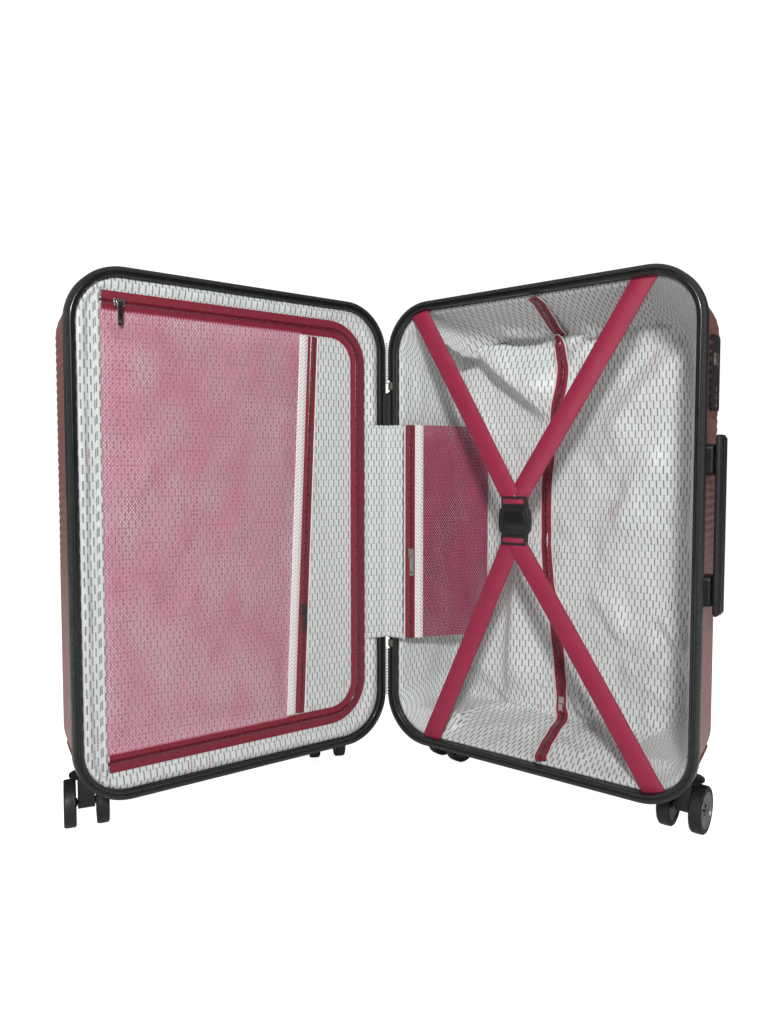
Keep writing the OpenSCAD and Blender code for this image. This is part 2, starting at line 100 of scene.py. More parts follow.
BACK = Matrix.Scale(MM, 4)
FRONT = Matrix.Rotation(math.radians(-open_angle), 4, "Z") @ Matrix.Diagonal((1, -1, 1, 1)) @ BACK


# ---- materials --------------------------------------------------------------------------------

def srgb(text):
    """A colour such as "#a5685e" as the linear numbers that a shader takes."""
    parts = [int(text[i:i + 2], 16) / 255 for i in (1, 3, 5)]
    return tuple(c / 12.92 if c < 0.04045 else ((c + 0.055) / 1.055) ** 2.4 for c in parts) + (1,)


class Shader:
    """One material under construction. Its methods add nodes and return their outputs."""

    def __init__(self, name, **values):
        self.material = bpy.data.materials.new(name)
        self.material.use_nodes = True
        self.tree = self.material.node_tree
        self.surface = self.tree.nodes["Principled BSDF"]
        for key, value in values.items():
            self.surface.inputs[key.replace("_", " ").title()].default_value = value

    def add(self, kind, *sockets, **settings):
        node = self.tree.nodes.new("ShaderNode" + kind)
        for key, value in settings.items():
            setattr(node, key, value)
        for index, value in enumerate(sockets):
            if isinstance(value, bpy.types.NodeSocket):
                self.tree.links.new(value, node.inputs[index])
            elif value is not None:
                node.inputs[index].default_value = value
        return node

    def math(self, operation, *values):
        return self.add("Math", *values, operation=operation).outputs[0]

    def place(self, stretch=(1, 1, 1)):
        """Object coordinates in metres, stretched."""
        coordinates = self.add("TexCoord").outputs["Object"]
        return self.add("Mapping", coordinates, None, None, stretch).outputs[0]

    def across_along(self):
        """The two UV coordinates, which every piece here holds in metres."""
        split = self.add("SeparateXYZ", self.add("TexCoord").outputs["UV"])
        return split.outputs[0], split.outputs[1]

    def noise(self, scale, detail=3.0, where=None):
        return self.add("TexNoise", where or self.place(), None, scale, detail).outputs[0]

    def mix(self, share, first, second):
        return self.add("MixRGB", share, first, second).outputs[0]

    def band(self, value, period, width):
        """1 within a stripe of this width, repeated at every period, and 0 between."""
        part = self.math("FRACT", self.math("DIVIDE", value, period))
        middle = self.math("ABSOLUTE", self.math("SUBTRACT", part, 0.5))
        if isinstance(width, bpy.types.NodeSocket):
            return self.math("LESS_THAN", middle, self.math("DIVIDE", width, period * 2))
        return self.math("LESS_THAN", middle, width / period / 2)

    def colour(self, socket):
        self.tree.links.new(socket, self.surface.inputs["Base Color"])

    def rough(self, value, least, most):
        """Roughness between two values, following a 0..1 value."""
        node = self.add("MapRange", value, 0.3, 0.7, least, most)
        self.tree.links.new(node.outputs[0], self.surface.inputs["Roughness"])

    def bump(self, height, distance, strength=1.0):
        node = self.add("Bump", strength, distance)
        self.tree.links.new(height, node.inputs["Height"])
        self.tree.links.new(node.outputs[0], self.surface.inputs["Normal"])


def shell_material():
    s = Shader("Rose gold shell", metallic=0.35, coat_weight=0.15, coat_roughness=0.2)
    cloudy = s.noise(9.0)
    s.colour(s.mix(cloudy, srgb("#965d54"), srgb("#aa6d63")))
    fine = s.noise(900.0, 2.0)
    brushed = s.noise(260.0, 3.0, s.place((1, 1, 0.08)))
    s.rough(brushed, 0.35, 0.48)
    s.bump(s.math("ADD", fine, brushed), 0.00012, 0.5)
    return s.material


def frame_material():
    s = Shader("Moulded frame", coat_weight=0.35, coat_roughness=0.14)
    s.colour(s.mix(s.noise(30.0), srgb("#070a09"), srgb("#101413")))
    s.rough(s.noise(60.0, 4.0), 0.3, 0.46)
    s.bump(s.noise(1400.0, 2.0), 0.00008, 0.5)
    return s.material


def plastic_material(name, dark, light, least=0.36, most=0.55):
    s = Shader(name)
    s.colour(s.mix(s.noise(45.0), srgb(dark), srgb(light)))
    s.rough(s.noise(90.0, 4.0), least, most)
    s.bump(s.noise(1800.0, 2.0), 0.0001, 0.6)
    return s.material


def metal_material(name, dark, light, least=0.2, most=0.38):
    s = Shader(name, metallic=1.0)
    s.colour(s.mix(s.noise(120.0), srgb(dark), srgb(light)))
    s.rough(s.noise(300.0, 4.0, s.place((1, 1, 0.2))), least, most)
    s.bump(s.noise(2500.0, 2.0), 0.00004, 0.5)
    return s.material


def lining_material():
    """Pale satin with grey dashes in staggered columns and a few broken red marks."""
    column_pitch, dash_pitch = 0.0045, 0.0205
    s = Shader("Printed lining", sheen_weight=0.15, sheen_roughness=0.4)
    u, v = s.across_along()
    column = s.math("FLOOR", s.math("DIVIDE", u, column_pitch))
    odd = s.math("ABSOLUTE", s.math("MODULO", column, 2.0))
    run = s.math("ADD", s.math("DIVIDE", v, dash_pitch), s.math("MULTIPLY", odd, 0.5))
    inside = s.band(u, column_pitch, 0.0018)
    dash = s.math("MULTIPLY", inside, s.math("LESS_THAN", s.math("FRACT", run), 0.58))
    cell = s.add("CombineXYZ", column, s.math("FLOOR", run), 0.0).outputs[0]
    chance = s.add("TexWhiteNoise", cell, noise_dimensions="2D").outputs[0]
    marked = s.math("GREATER_THAN", chance, 0.995)
    wide = s.band(u, column_pitch, 0.0024)
    broken = s.math("MULTIPLY", wide, s.band(v, 0.0024, 0.0015))
    red = s.math("MULTIPLY", marked, broken)
    thread = s.noise(420.0, 2.0, s.place((1, 1, 0.15)))
    cloth = s.mix(thread, srgb("#c6c9c8"), srgb("#dddfde"))
    grey = s.mix(chance, srgb("#747c7b"), srgb("#8a9190"))
    printed = s.mix(s.math("MULTIPLY", dash, s.math("SUBTRACT", 1.0, marked)), cloth, grey)
    s.colour(s.mix(red, printed, srgb("#9c4556")))
    s.rough(s.noise(140.0), 0.36, 0.5)
    weave = s.math("MULTIPLY", s.band(u, 0.0007, 0.00035), 0.15)
    s.bump(s.math("ADD", s.noise(60.0, 4.0), weave), 0.0012, 0.45)
    return s.material


def net_material(name, strand, gap_colour, cell, width):
    """Diamond net: strands with real holes between them."""
    s = Shader(name, sheen_weight=0.3)
    u, v = s.across_along()
    # Painted fold shade: the strands widen and thin in noise patches, so the net reads darker and
    # lighter in patches.
    painted_fold_shade = s.noise(26.0, 4.0, s.place((1.0, 1.0, 0.5)))
    strand_width = s.add("MapRange", painted_fold_shade, 0.36, 0.64, width * 0.8, width * 1.25).outputs[0]
    first = s.band(s.math("ADD", u, s.math("MULTIPLY", v, 0.72)), cell, strand_width)
    second = s.band(s.math("SUBTRACT", u, s.math("MULTIPLY", v, 0.72)), cell, strand_width)
    solid = s.math("MAXIMUM", first, second)
    s.colour(s.mix(s.noise(35.0), srgb(strand), srgb(gap_colour)))
    s.rough(s.noise(200.0), 0.45, 0.65)
    hole = s.add("BsdfTransparent")
    blend = s.add("MixShader", solid, hole.outputs[0], s.surface.outputs[0])
    s.tree.links.new(blend.outputs[0], s.tree.nodes["Material Output"].inputs["Surface"])
    return s.material


def tape_material(name, dark, light):
    """Woven zip tape: fine ribs along it."""
    s = Shader(name, sheen_weight=0.08)
    u, v = s.across_along()
    s.colour(s.mix(s.noise(300.0), srgb(dark), srgb(light)))
    s.rough(s.noise(150.0), 0.5, 0.7)
    rib = s.math("SINE", s.math("MULTIPLY", u, 2 * math.pi / 0.0011))
    twill = s.math("SINE", s.math("MULTIPLY", s.math("ADD", u, v), 2 * math.pi / 0.0016))
    s.bump(s.math("ADD", rib, twill), 0.00014, 0.7)
    return s.material


def coil_material(name, dark, light):
    s = Shader(name, coat_weight=0.5, coat_roughness=0.15)
    s.colour(s.mix(s.noise(400.0), srgb(dark), srgb(light)))
    s.rough(s.noise(200.0), 0.22, 0.34)
    return s.material


def binding_material():
    """White tape with short dark twill marks."""
    s = Shader("Twill binding", sheen_weight=0.3)
    u, v = s.across_along()
    slanted = s.math("ADD", v, s.math("MULTIPLY", u, 0.9))
    mark = s.band(slanted, 0.0058, 0.0013)
    inside = s.band(u, 0.0072, 0.0052)
    dark = s.math("MULTIPLY", mark, inside)
    s.colour(s.mix(dark, srgb("#e6e2df"), srgb("#a3969a")))
    s.rough(s.noise(200.0), 0.55, 0.75)
    twill = s.math("SINE", s.math("MULTIPLY", slanted, 2 * math.pi / 0.0029))
    s.bump(twill, 0.0004, 0.6)
    return s.material


def webbing_material():
    """Satin elastic strap: dense ribs across it and a selvedge along each side."""
    s = Shader("Strap webbing", sheen_weight=0.3, sheen_roughness=0.35)
    u, v = s.across_along()
    edge = s.math("GREATER_THAN", s.math("ABSOLUTE", u), strap_width * MM / 2 - 0.0016)
    cloudy = s.mix(s.noise(60.0), srgb("#8c1136"), srgb("#9c1b40"))
    s.colour(s.mix(edge, cloudy, srgb("#84152f")))
    s.rough(s.noise(130.0), 0.4, 0.55)
    rib = s.math("SINE", s.math("MULTIPLY", v, 2 * math.pi / 0.0012))
    thread = s.math("SINE", s.math("MULTIPLY", u, 2 * math.pi / 0.0009))
    s.bump(s.math("ADD", rib, s.math("MULTIPLY", thread, 0.5)), 0.00016, 0.6)
    return s.material


M_SHELL = shell_material()
M_FRAME = frame_material()
M_BLACK = plastic_material("Black plastic", "#0d0e0f", "#18191b")
M_GLOSS = plastic_material("Glossy black plastic", "#101113", "#1b1d1f", 0.16, 0.26)
M_GREY = plastic_material("Grey hub plastic", "#55585b", "#7b7e80", 0.24, 0.36)
M_TYRE = plastic_material("Tyre", "#0c0d0d", "#151617", 0.5, 0.72)
M_METAL = metal_material("Zip metal", "#9a978f", "#c9c6bf")
M_DARK_METAL = metal_material("Dark zip metal", "#4d4b4a", "#76736f")
M_BRONZE = metal_material("Main slider metal", "#8d8273", "#b9b1a3")
M_TUBE = metal_material("Trolley tube", "#a9abad", "#cfd1d3", 0.25, 0.36)
M_LINING = lining_material()
M_NET = net_material("Pink net", "#b4617c", "#d3869d", 0.0042, 0.0014)
M_FLAP_NET = net_material("Burgundy net", "#7a2742", "#9a3c5c", 0.0040, 0.0022)
M_TAPE = tape_material("Red zip tape", "#740822", "#880e2c")
M_COIL = coil_material("Red zip coil", "#4f0a18", "#6b0f22")
M_DARK_TAPE = tape_material("Main zip tape", "#0d1010", "#181c1b")
M_TEETH = coil_material("Main zip teeth", "#262b2a", "#454b4a")
M_CHAIN = metal_material("Closed zip chain", "#a8a295", "#d5d0c4")
M_BINDING = binding_material()
M_PIPING = tape_material("Piping", "#cfc6c4", "#e6dfdc")
M_WEBBING = webbing_material()
M_BAND = tape_material("Hinge band", "#0a0e0c", "#141a18")


# ---- mesh tools -------------------------------------------------------------------------------

def piece(name, place, points, faces, materials, flat=None, kinds=None, sharp=40):
    """A mesh from points in a half's own frame. flat holds each point's place on the cut cloth."""
    points = np.asarray(points, float)
    m = np.array(place)
    mesh = bpy.data.meshes.new(name)
    mesh.from_pydata((points @ m[:3, :3].T + m[:3, 3]).tolist(), [], faces)
    if np.linalg.det(m[:3, :3]) < 0:
        mesh.flip_normals()
    for material in materials if isinstance(materials, (list, tuple)) else [materials]:
        mesh.materials.append(material)
    if kinds is not None:
        mesh.polygons.foreach_set("material_index", kinds)
    if flat is not None:
        corners = np.zeros(len(mesh.loops), int)
        mesh.loops.foreach_get("vertex_index", corners)
        layer = mesh.uv_layers.new(name="flat")
        layer.data.foreach_set("uv", (np.asarray(flat, float)[corners] * MM).ravel())
    mesh.shade_smooth()
    mesh.set_sharp_from_angle(angle=math.radians(sharp))
    obj = bpy.data.objects.new(name, mesh)
    bpy.context.scene.collection.objects.link(obj)
    return obj


def grid(rows, columns, wrap_rows=False, wrap_columns=False):
    """Quads over points laid out in rows, each row's points together."""
    faces = []
    for r in range(rows if wrap_rows else rows - 1):
        below, above = r * columns, (r + 1) % rows * columns
        for c in range(columns if wrap_columns else columns - 1):
            d = (c + 1) % columns
            faces.append((below + c, below + d, above + d, above + c))
    return faces


def ring(box, radii, straight, arc):
    """Points (u, z) and outward normals round a box with round corners, from its lower outer
    corner."""
    lo_u, hi_u, lo_z, hi_z = box
    corners = [(hi_u, lo_z, -90), (hi_u, hi_z, 0), (lo_u, hi_z, 90), (lo_u, lo_z, 180)]
    signs = [(-1, 1), (-1, -1), (1, -1), (1, 1)]
    arcs = []
    for (u, z, start), (su, sz), r in zip(corners, signs, radii):
        angle = np.radians(start + np.linspace(0, 90, arc + 1))
        out = np.stack([np.cos(angle), np.sin(angle)], 1)
        arcs.append((np.array([u + su * r, z + sz * r]) + r * out, out))
    points, normals = [], []
    for index, (p, n) in enumerate(arcs):
        following = arcs[(index + 1) % 4][0][0]
        t = np.linspace(0, 1, straight[index % 2] + 1)[1:-1, None]
        points += [p, p[-1] * (1 - t) + following * t]
        normals += [n, np.repeat(n[-1:], len(t), 0)]
    return np.concatenate(points), np.concatenate(normals)


def case_box(inset):
    return (seam + inset, out_u - inset, base + inset, top_z - inset)


def disc_rings(box, radii, straight, arc, count):
    """Rings from a rounded box's edge to its middle line, as a list of point arrays."""
    half = (box[1] - box[0]) / 2
    rings = []
    for step in np.linspace(0, 1, count + 1)[1:]:
        inset, left = half * step, 1 - step
        inner = (box[0] + inset, box[1] - inset, box[2] + inset, box[3] - inset)
        rings.append(ring(inner, [r * left for r in radii], straight, arc)[0])
    return rings


def tub(profile, straight, arc, floor_count, scale=1.0):
    """A tub from a profile of (inset, corner radius, depth), closed by a floor.
    Returns points (u, w, z), outward normals, places on the unfolded cloth, and faces."""
    insets, radii, depths = np.array(profile, float).T
    steps = np.hypot(np.diff(insets), np.diff(depths))
    down = np.concatenate([[0], np.cumsum(steps)])
    slope_i, slope_w = np.gradient(insets), np.gradient(depths)
    length = np.hypot(slope_i, slope_w)
    points, normals, flats = [], [], []
    edge = ring(case_box(insets[-1]), [radii[-1]] * 4, straight, arc)
    for i, r, w, d, si, sw in zip(insets, radii, depths, down, slope_i / length, slope_w / length):
        p, n = ring(case_box(i), [r] * 4, straight, arc)
        points.append(upright(p, w))
        normals.append(np.stack([n[:, 0] * sw, np.full(len(p), si), n[:, 1] * sw], 1))
        flats.append(edge[0] + edge[1] * (down[-1] - d))
    floor = disc_rings(case_box(insets[-1]), [radii[-1]] * 4, straight, arc, floor_count)
    for p in floor:
        points.append(upright(p, depths[-1]))
        normals.append(np.tile([0.0, 1.0, 0.0], (len(p), 1)))
        flats.append(p)
    faces = grid(len(points), len(edge[0]), wrap_columns=True)
    return np.concatenate(points), np.concatenate(normals), np.concatenate(flats), faces


def weld(obj, distance=1e-5):
    """Merges points that coincide, such as those on a tub floor's middle line."""
    mesh = bmesh.new()
    mesh.from_mesh(obj.data)
    bmesh.ops.remove_doubles(mesh, verts=mesh.verts, dist=distance)
    mesh.to_mesh(obj.data)
    mesh.free()
    return obj


def apply_modifiers(obj):
    graph = bpy.context.evaluated_depsgraph_get()
    mesh = bpy.data.meshes.new_from_object(obj.evaluated_get(graph))
    obj.modifiers.clear()
    obj.data = mesh
    return obj


def thicken(obj, thickness, offset=0.0):
    """Gives a sheet its thickness, in millimetres."""
    modifier = obj.modifiers.new("thickness", "SOLIDIFY")
    modifier.thickness = thickness * MM
    modifier.offset = offset
    return apply_modifiers(obj)


def round_edges(obj, width, segments, angle):
    """Bevels edges sharper than an angle in degrees, by a width in millimetres."""
    bevel = obj.modifiers.new("bevel", "BEVEL")
    bevel.width = width * MM
    bevel.segments = segments
    bevel.limit_method = "ANGLE"
    bevel.angle_limit = math.radians(angle)


def finish_node(node, material, width=0.0):
    """Gives a CAD node its material, and rounds its edges."""
    obj = frame["nodes"][node]
    if not obj.material_slots:
        obj.data.materials.append(material)
    for entry in obj.material_slots:
        entry.material = material
    if width:
        obj.modifiers.new("weld", "WELD").merge_threshold = 0.00002
        round_edges(obj, width, 2, 38)


def unit(vectors):
    return vectors / np.linalg.norm(vectors, axis=-1, keepdims=True)


def upright(p, w):
    """Points (u, w, z) from points (u, z), at one depth or at a depth for each."""
    return np.stack([p[:, 0], np.broadcast_to(np.asarray(w, float), len(p)), p[:, 1]], 1)


def distances(path):
    """How far along a path each of its points is."""
    return np.concatenate([[0], np.cumsum(np.linalg.norm(np.diff(path, axis=0), axis=1))])


def sweep(path, across, out, section, closed=False):
    """Sweeps a closed section of (across, out) offsets along a path. The section may vary along it.
    Returns points, their places on the flat strip, faces, and the section's column of each face."""
    path, across, out = (np.asarray(a, float) for a in (path, across, out))
    section = np.asarray(section, float)
    if section.ndim == 2:
        section = np.repeat(section[None], len(path), 0)
    count = section.shape[1]
    points = (path[:, None] + across[:, None] * section[..., :1] + out[:, None] * section[..., 1:])
    run = distances(path)
    flat = np.stack([section[..., 0], np.repeat(run[:, None], count, 1)], -1)
    faces = grid(len(path), count, closed, True)
    columns = [i % count for i in range(len(faces))]
    if not closed:
        last = (len(path) - 1) * count
        faces += [tuple(range(count))[::-1], tuple(range(last, last + count))]
        columns += [0, 0]
    return points.reshape(-1, 3), flat.reshape(-1, 2), faces, columns


def resample(path, step, other=None):
    """Points along a polyline at even steps, and with them another array of its points."""
    path = np.asarray(path, float)
    run = distances(path)
    at = np.linspace(0, run[-1], max(int(run[-1] / step), 2) + 1)
    placed = [np.stack([np.interp(at, run, column) for column in a.T], 1)
              for a in (path, other) if a is not None]
    return placed[0] if other is None else placed


def resample_pair(path, out, step):
    """A path at even steps, and its outward directions, given for all or for each point."""
    return resample(path, step, np.broadcast_to(np.asarray(out, float), np.shape(path)))


def smooth_path(points, per_span=12):
    """A curve through a few points (Catmull-Rom)."""
    p = np.asarray(points, float)
    p = np.concatenate([[2 * p[0] - p[1]], p, [2 * p[-1] - p[-2]]])
    t = np.linspace(0, 1, per_span, endpoint=False)[:, None]
    spans = []
    for a, b, c, d in zip(p, p[1:], p[2:], p[3:]):
        spans.append(0.5 * (2 * b + (c - a) * t + (2 * a - 5 * b + 4 * c - d) * t ** 2
                            + (3 * b - a - 3 * c + d) * t ** 3))
    return np.concatenate(spans + [p[-2][None]])


def sides(path, out):
    """Unit vectors along a path's surface, square to it, for an outward direction."""
    along = unit(np.gradient(path, axis=0))
    out = np.broadcast_to(np.asarray(out, float), path.shape)
    across = unit(np.cross(along, out))
    return across, np.cross(across, along)


def waves(points, size, seed, octaves=3):
    """Smooth random heights from about -1 to 1 over 2-D points, with bumps of this size."""
    rng = np.random.default_rng(seed)
    total = np.zeros(len(points))
    for octave in range(octaves):
        table = rng.uniform(-1, 1, (64, 64))
        q = np.asarray(points) / np.asarray(size) * 2 ** octave + 100.0
        cell = np.floor(q).astype(int)
        f = q - cell
        f = f * f * (3 - 2 * f)
        a, b = cell[:, 0] % 64, cell[:, 1] % 64
        c, d = (a + 1) % 64, (b + 1) % 64
        upper = table[a, d] * (1 - f[:, 0]) + table[c, d] * f[:, 0]
        lower = table[a, b] * (1 - f[:, 0]) + table[c, b] * f[:, 0]
        total += (lower * (1 - f[:, 1]) + upper * f[:, 1]) * 0.5 ** octave
    return total


def creases(points, lines):
    """Heights of folds along lines of (start, end, left width, right width, height). Seen along
    its line, a fold falls off over its left width on the left and its right width on the right."""
    total = np.zeros(len(points))
    for start, end, left, right, height in lines:
        run = np.subtract(end, start).astype(float)
        length = np.linalg.norm(run)
        from_start = points - np.array(start, float)
        t = from_start @ run / length ** 2
        aside = (run[0] * from_start[:, 1] - run[1] * from_start[:, 0]) / length
        profile = np.exp(-(aside / np.where(aside > 0, left, right)) ** 2)
        total += height * profile * fade(t, -0.2, 0.25) * (1 - fade(t, 0.75, 1.2))
    return total


def fade(value, low_stop, high_stop):
    t = np.clip((value - low_stop) / (high_stop - low_stop), 0, 1)
    return t * t * (3 - 2 * t)


def beads(points, along, out, size):
    """Small bevelled bricks at points. Returns their points and faces together."""
    shape = np.array([(x, y, z) for x in (-1, 1) for y in (-1, 1) for z in (0, 1)], float) / 2
    shape[:, 2] += 0.5
    shape[1::2, :2] *= 0.6
    side = np.cross(along, out)
    frames = np.stack([along, side, out], 1)
    placed = points[:, None] + np.einsum("vk,nkj->nvj", shape * np.array(size), frames)
    box = [(0, 2, 3, 1), (4, 5, 7, 6), (0, 1, 5, 4), (2, 6, 7, 3), (1, 3, 7, 5), (0, 4, 6, 2)]
    faces = [tuple(i + 8 * k for i in f) for k in range(len(points)) for f in box]
    return placed.reshape(-1, 3), faces


# ---- shells and frames ------------------------------------------------------------------------

def shell_profile(inner=0.0):
    """(inset, corner radius, depth) from the shell's edge to its outer panel."""
    start = np.array([shell_in, shell_w + 1.0])
    middle = np.array([panel_in + edge_r, half_d - edge_r])
    gap = middle - start
    reach = math.hypot(*gap)
    lean = math.atan2(gap[0], gap[1]) - math.asin(edge_r / reach)
    length = math.sqrt(reach ** 2 - edge_r ** 2)
    wall = [start + t * length * np.array([math.sin(lean), math.cos(lean)])
            for t in np.linspace(0, 1, 12)]
    turn = np.linspace(-lean, math.pi / 2, 12)[1:]
    bend = [middle + edge_r * np.array([-math.cos(a), math.sin(a)]) for a in turn]
    rows = []
    for inset, depth in wall + bend:
        radius = max(shell_corner - inset, 4) if inset > panel_in else np.interp(
            inset, [shell_in, panel_in], [corner_r - shell_in, shell_corner - panel_in])
        rows.append((inset + inner, max(radius - inner, 2), depth - inner * (depth > half_d / 2)))
    return rows


def rib_depth(points, normals):
    """Horizontal scallops over the upper part of the case, which die out half way down."""
    pitch, depth = 10.5, 1.1
    scallop = 1 - np.abs(np.sin(np.pi * (points[:, 2] - top_z) / pitch))
    upper = fade(points[:, 2], mid_z - 60, mid_z + 10)
    clear = 1 - fade(points[:, 2], top_z - 55, top_z - 30)
    return depth * scallop * upper * clear * (1 - np.abs(normals[:, 2]))


def shell(name, place, node, body, recess=None):
    points, normals, _, faces = tub(shell_profile(), (196, 16), 22, 66)
    points = points - normals * rib_depth(points, normals)[:, None]
    outside = weld(piece(name, place, points, faces, M_SHELL))
    points, _, _, faces = tub(shell_profile(2.4), (12, 8), 8, 4)
    inside = weld(piece(name + "_inner", place, points, [f[::-1] for f in faces], M_SHELL))
    for obj in (outside, inside):
        if recess:
            cut_box(obj, *recess)
    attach(outside, body)
    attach(inside, body)
    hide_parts(node)


def cut_box(obj, lowest, highest):
    """Cuts the part of a back-half surface inside a box away, along the box's own planes."""
    mesh = bmesh.new()
    mesh.from_mesh(obj.data)
    for axis in range(3):
        for corner in (lowest, highest):
            normal = Vector((0, 0, 0))
            normal[axis] = 1
            everything = mesh.verts[:] + mesh.edges[:] + mesh.faces[:]
            bmesh.ops.bisect_plane(mesh, geom=everything, plane_co=corner, plane_no=normal,
                                   dist=1e-6)
    gone = [f for f in mesh.faces
            if all(lowest[k] < f.calc_center_median()[k] < highest[k] for k in range(3))]
    bmesh.ops.delete(mesh, geom=gone, context="FACES")
    mesh.to_mesh(obj.data)
    mesh.free()


FRAME_SECTION = [
    (5.3, 3.4), (5.3, 1.7), (5.8, 1.1), (7.0, 1.0), (7.4, 1.8), (8.1, 1.8), (8.5, 0.9),
    (10.9, 0.9), (11.7, 1.3), (12.0, 2.2), (12.0, 7.4), (12.5, 7.8), (12.5, 9.0), (12.0, 9.4),
    (12.0, 17.0), (11.2, 17.4), (10.4, 14.0), (1.2, 14.0), (0.1, 13.0), (0.1, 4.4), (1.0, 3.4),
]


def moulded_frame(name, place, node, body):
    """The frame: its section carried round the outline."""
    rows = []
    for inset, depth in FRAME_SECTION:
        p, _ = ring(case_box(inset), [corner_r - inset] * 4, (4, 4), 18)
        rows.append(upright(p, depth))
    faces = grid(len(rows), len(rows[0]), True, True)
    obj = piece(name, place, np.concatenate(rows), faces, M_FRAME, sharp=50)
    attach(obj, body)
    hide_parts(node)


def main_teeth(name, place, body):
    """The main zip's teeth on their cord, round the outline except along the hinge."""
    p, _ = ring(case_box(1.6), [corner_r - 1.6] * 4, (186, 114), 40)
    at = upright(p, -0.5)
    loop = resample(np.concatenate([at, at[:1]]), 2.9)[:-1]
    along = unit(np.roll(loop, -1, 0) - np.roll(loop, 1, 0))
    beside_hinge = (loop[:, 2] > hinge_lo - 22) & (loop[:, 2] < hinge_hi + 22)
    kept = ~(beside_hinge & (loop[:, 0] < seam + 8))
    out = np.tile([0.0, -1.0, 0.0], (kept.sum(), 1))
    points, faces = beads(loop[kept] + [0, 1.5, 0], along[kept], out, (1.7, 2.3, 1.0))
    obj = piece(name, place, points, faces, M_TEETH)
    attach(obj, body)


cup_low, cup_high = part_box("trolley_cup")
recess_high = cup_high + Vector((0, 0.01, 0.01))
shell("back_shell_skin", BACK, "back_shell", "back_half", (cup_low, recess_high))
shell("front_shell_skin", FRONT, "front_shell", "front_half")
moulded_frame("back_frame_moulding", BACK, "back_frame", "back_half")
moulded_frame("front_frame_moulding", FRONT, "front_frame", "front_half")
main_teeth("back_main_teeth", BACK, "back_half")
main_teeth("front_main_teeth", FRONT, "front_half")


# ---- linings ----------------------------------------------------------------------------------

def lining_profile(depth):
    """(inset, corner radius, depth) of a sewn lining, from behind the frame's face, down the
    walls and round a small turn to the floor."""
    turn = 14
    rows = []
    wall_end = np.array([floor_in + 0.5, depth - turn])
    rows.append((lining_in, corner_r - lining_in, 13.6))
    for t in np.linspace(0, 1, 19):
        inset, w = (1 - t) * np.array([lining_in + 3.4, 14.4]) + t * wall_end
        rows.append((inset, corner_r - lining_in - 1 - t, w))
    for angle in np.radians(np.linspace(0, 90, 7)[1:]):
        inset = floor_in + 0.5 + turn * (1 - math.cos(angle))
        rows.append((inset, corner_r - lining_in - 2 - (inset - floor_in), depth - turn
                     + turn * math.sin(angle)))
    return rows


# Folds of the back lining: (start, end, left width, right width, height), from the half's lower
# hinge-side corner
BACK_FOLDS = [
    ((64, 664), (218, 528), 50, 14, 34),
    ((-14, 716), (112, 660), 26, 9, 26),
    ((250, 614), (306, 662), 26, 9, 18),
    ((150, 690), (232, 668), 18, 9, 13),
    ((70, 560), (120, 470), 26, 14, 10),
    ((390, 470), (330, 330), 34, 24, 15),
    ((430, 600), (300, 470), 46, 26, 17),
    ((330, 620), (420, 640), 22, 12, 10),
    ((176, 300), (160, 70), 42, 14, 22),
    ((120, 190), (96, 90), 22, 10, 12),
    ((196, 60), (120, 30), 12, 9, 9),
    ((262, 92), (352, 12), 18, 9, 15),
    ((352, 128), (404, 200), 20, 12, 11),
    ((400, 222), (466, 150), 18, 10, 12),
    ((452, 130), (420, 40), 14, 9, 11),
    ((300, 250), (348, 180), 24, 12, 10),
    ((410, 380), (462, 330), 22, 12, 9),
    ((20, 420), (60, 330), 20, 14, 8),
]

# The wheel housings that the linings cover, as boxes in a half's own frame, with room for the cloth
POCKETS = [
    ((out_u - 99.8, 33.2, -100), (out_u + 50, 400, base + 48.8)),
    ((seam - 50, 33.2, -100), (seam + 113.8, 400, base + 48.8)),
]


# Where the lining's zip slider rests on the unfolded cloth, which lies flat there
ZIP_STOP = np.array([247.5, 115])


def cover(points, inner):
    """Moves points that lie in a wheel pocket out to its surface, towards a point in the tub."""
    for lowest, highest in POCKETS:
        run = points - inner
        with np.errstate(divide="ignore", invalid="ignore"):
            enter = np.minimum((np.array(lowest) - inner) / run, (np.array(highest) - inner) / run)
            leave = np.maximum((np.array(lowest) - inner) / run, (np.array(highest) - inner) / run)
        first, last = enter.max(1), leave.min(1)
        hit = (first < last) & (first > 0) & (first < 1)
        points = np.where(hit[:, None], inner + run * first[:, None], points)
    return points


def drape_pockets(points, columns):
    """Carries the cloth over the wheel housings, and rounds its folds there."""
    inner = np.array([mid_u, 40.0, mid_z])
    covered = cover(points, inner)
    near = np.linalg.norm(covered - points, axis=1) > 0.01
    grid_points = covered.reshape(-1, columns, 3)
    mask = near.reshape(-1, columns)
    for _ in range(4):
        mask = mask | np.roll(mask, 1, 1) | np.roll(mask, -1, 1)
        mask[1:] |= mask[:-1]
        mask[:-1] |= mask[1:]
    mask[:2] = False
    for _ in range(6):
        soft = (np.roll(grid_points, 1, 1) + np.roll(grid_points, -1, 1)) / 4
        soft[1:-1] += (grid_points[2:] + grid_points[:-2]) / 4
        soft[0], soft[-1] = grid_points[0], grid_points[-1]
        grid_points = np.where(mask[..., None], soft, grid_points)
        grid_points = cover(grid_points.reshape(-1, 3), inner).reshape(-1, columns, 3)
    return grid_points.reshape(-1, 3)


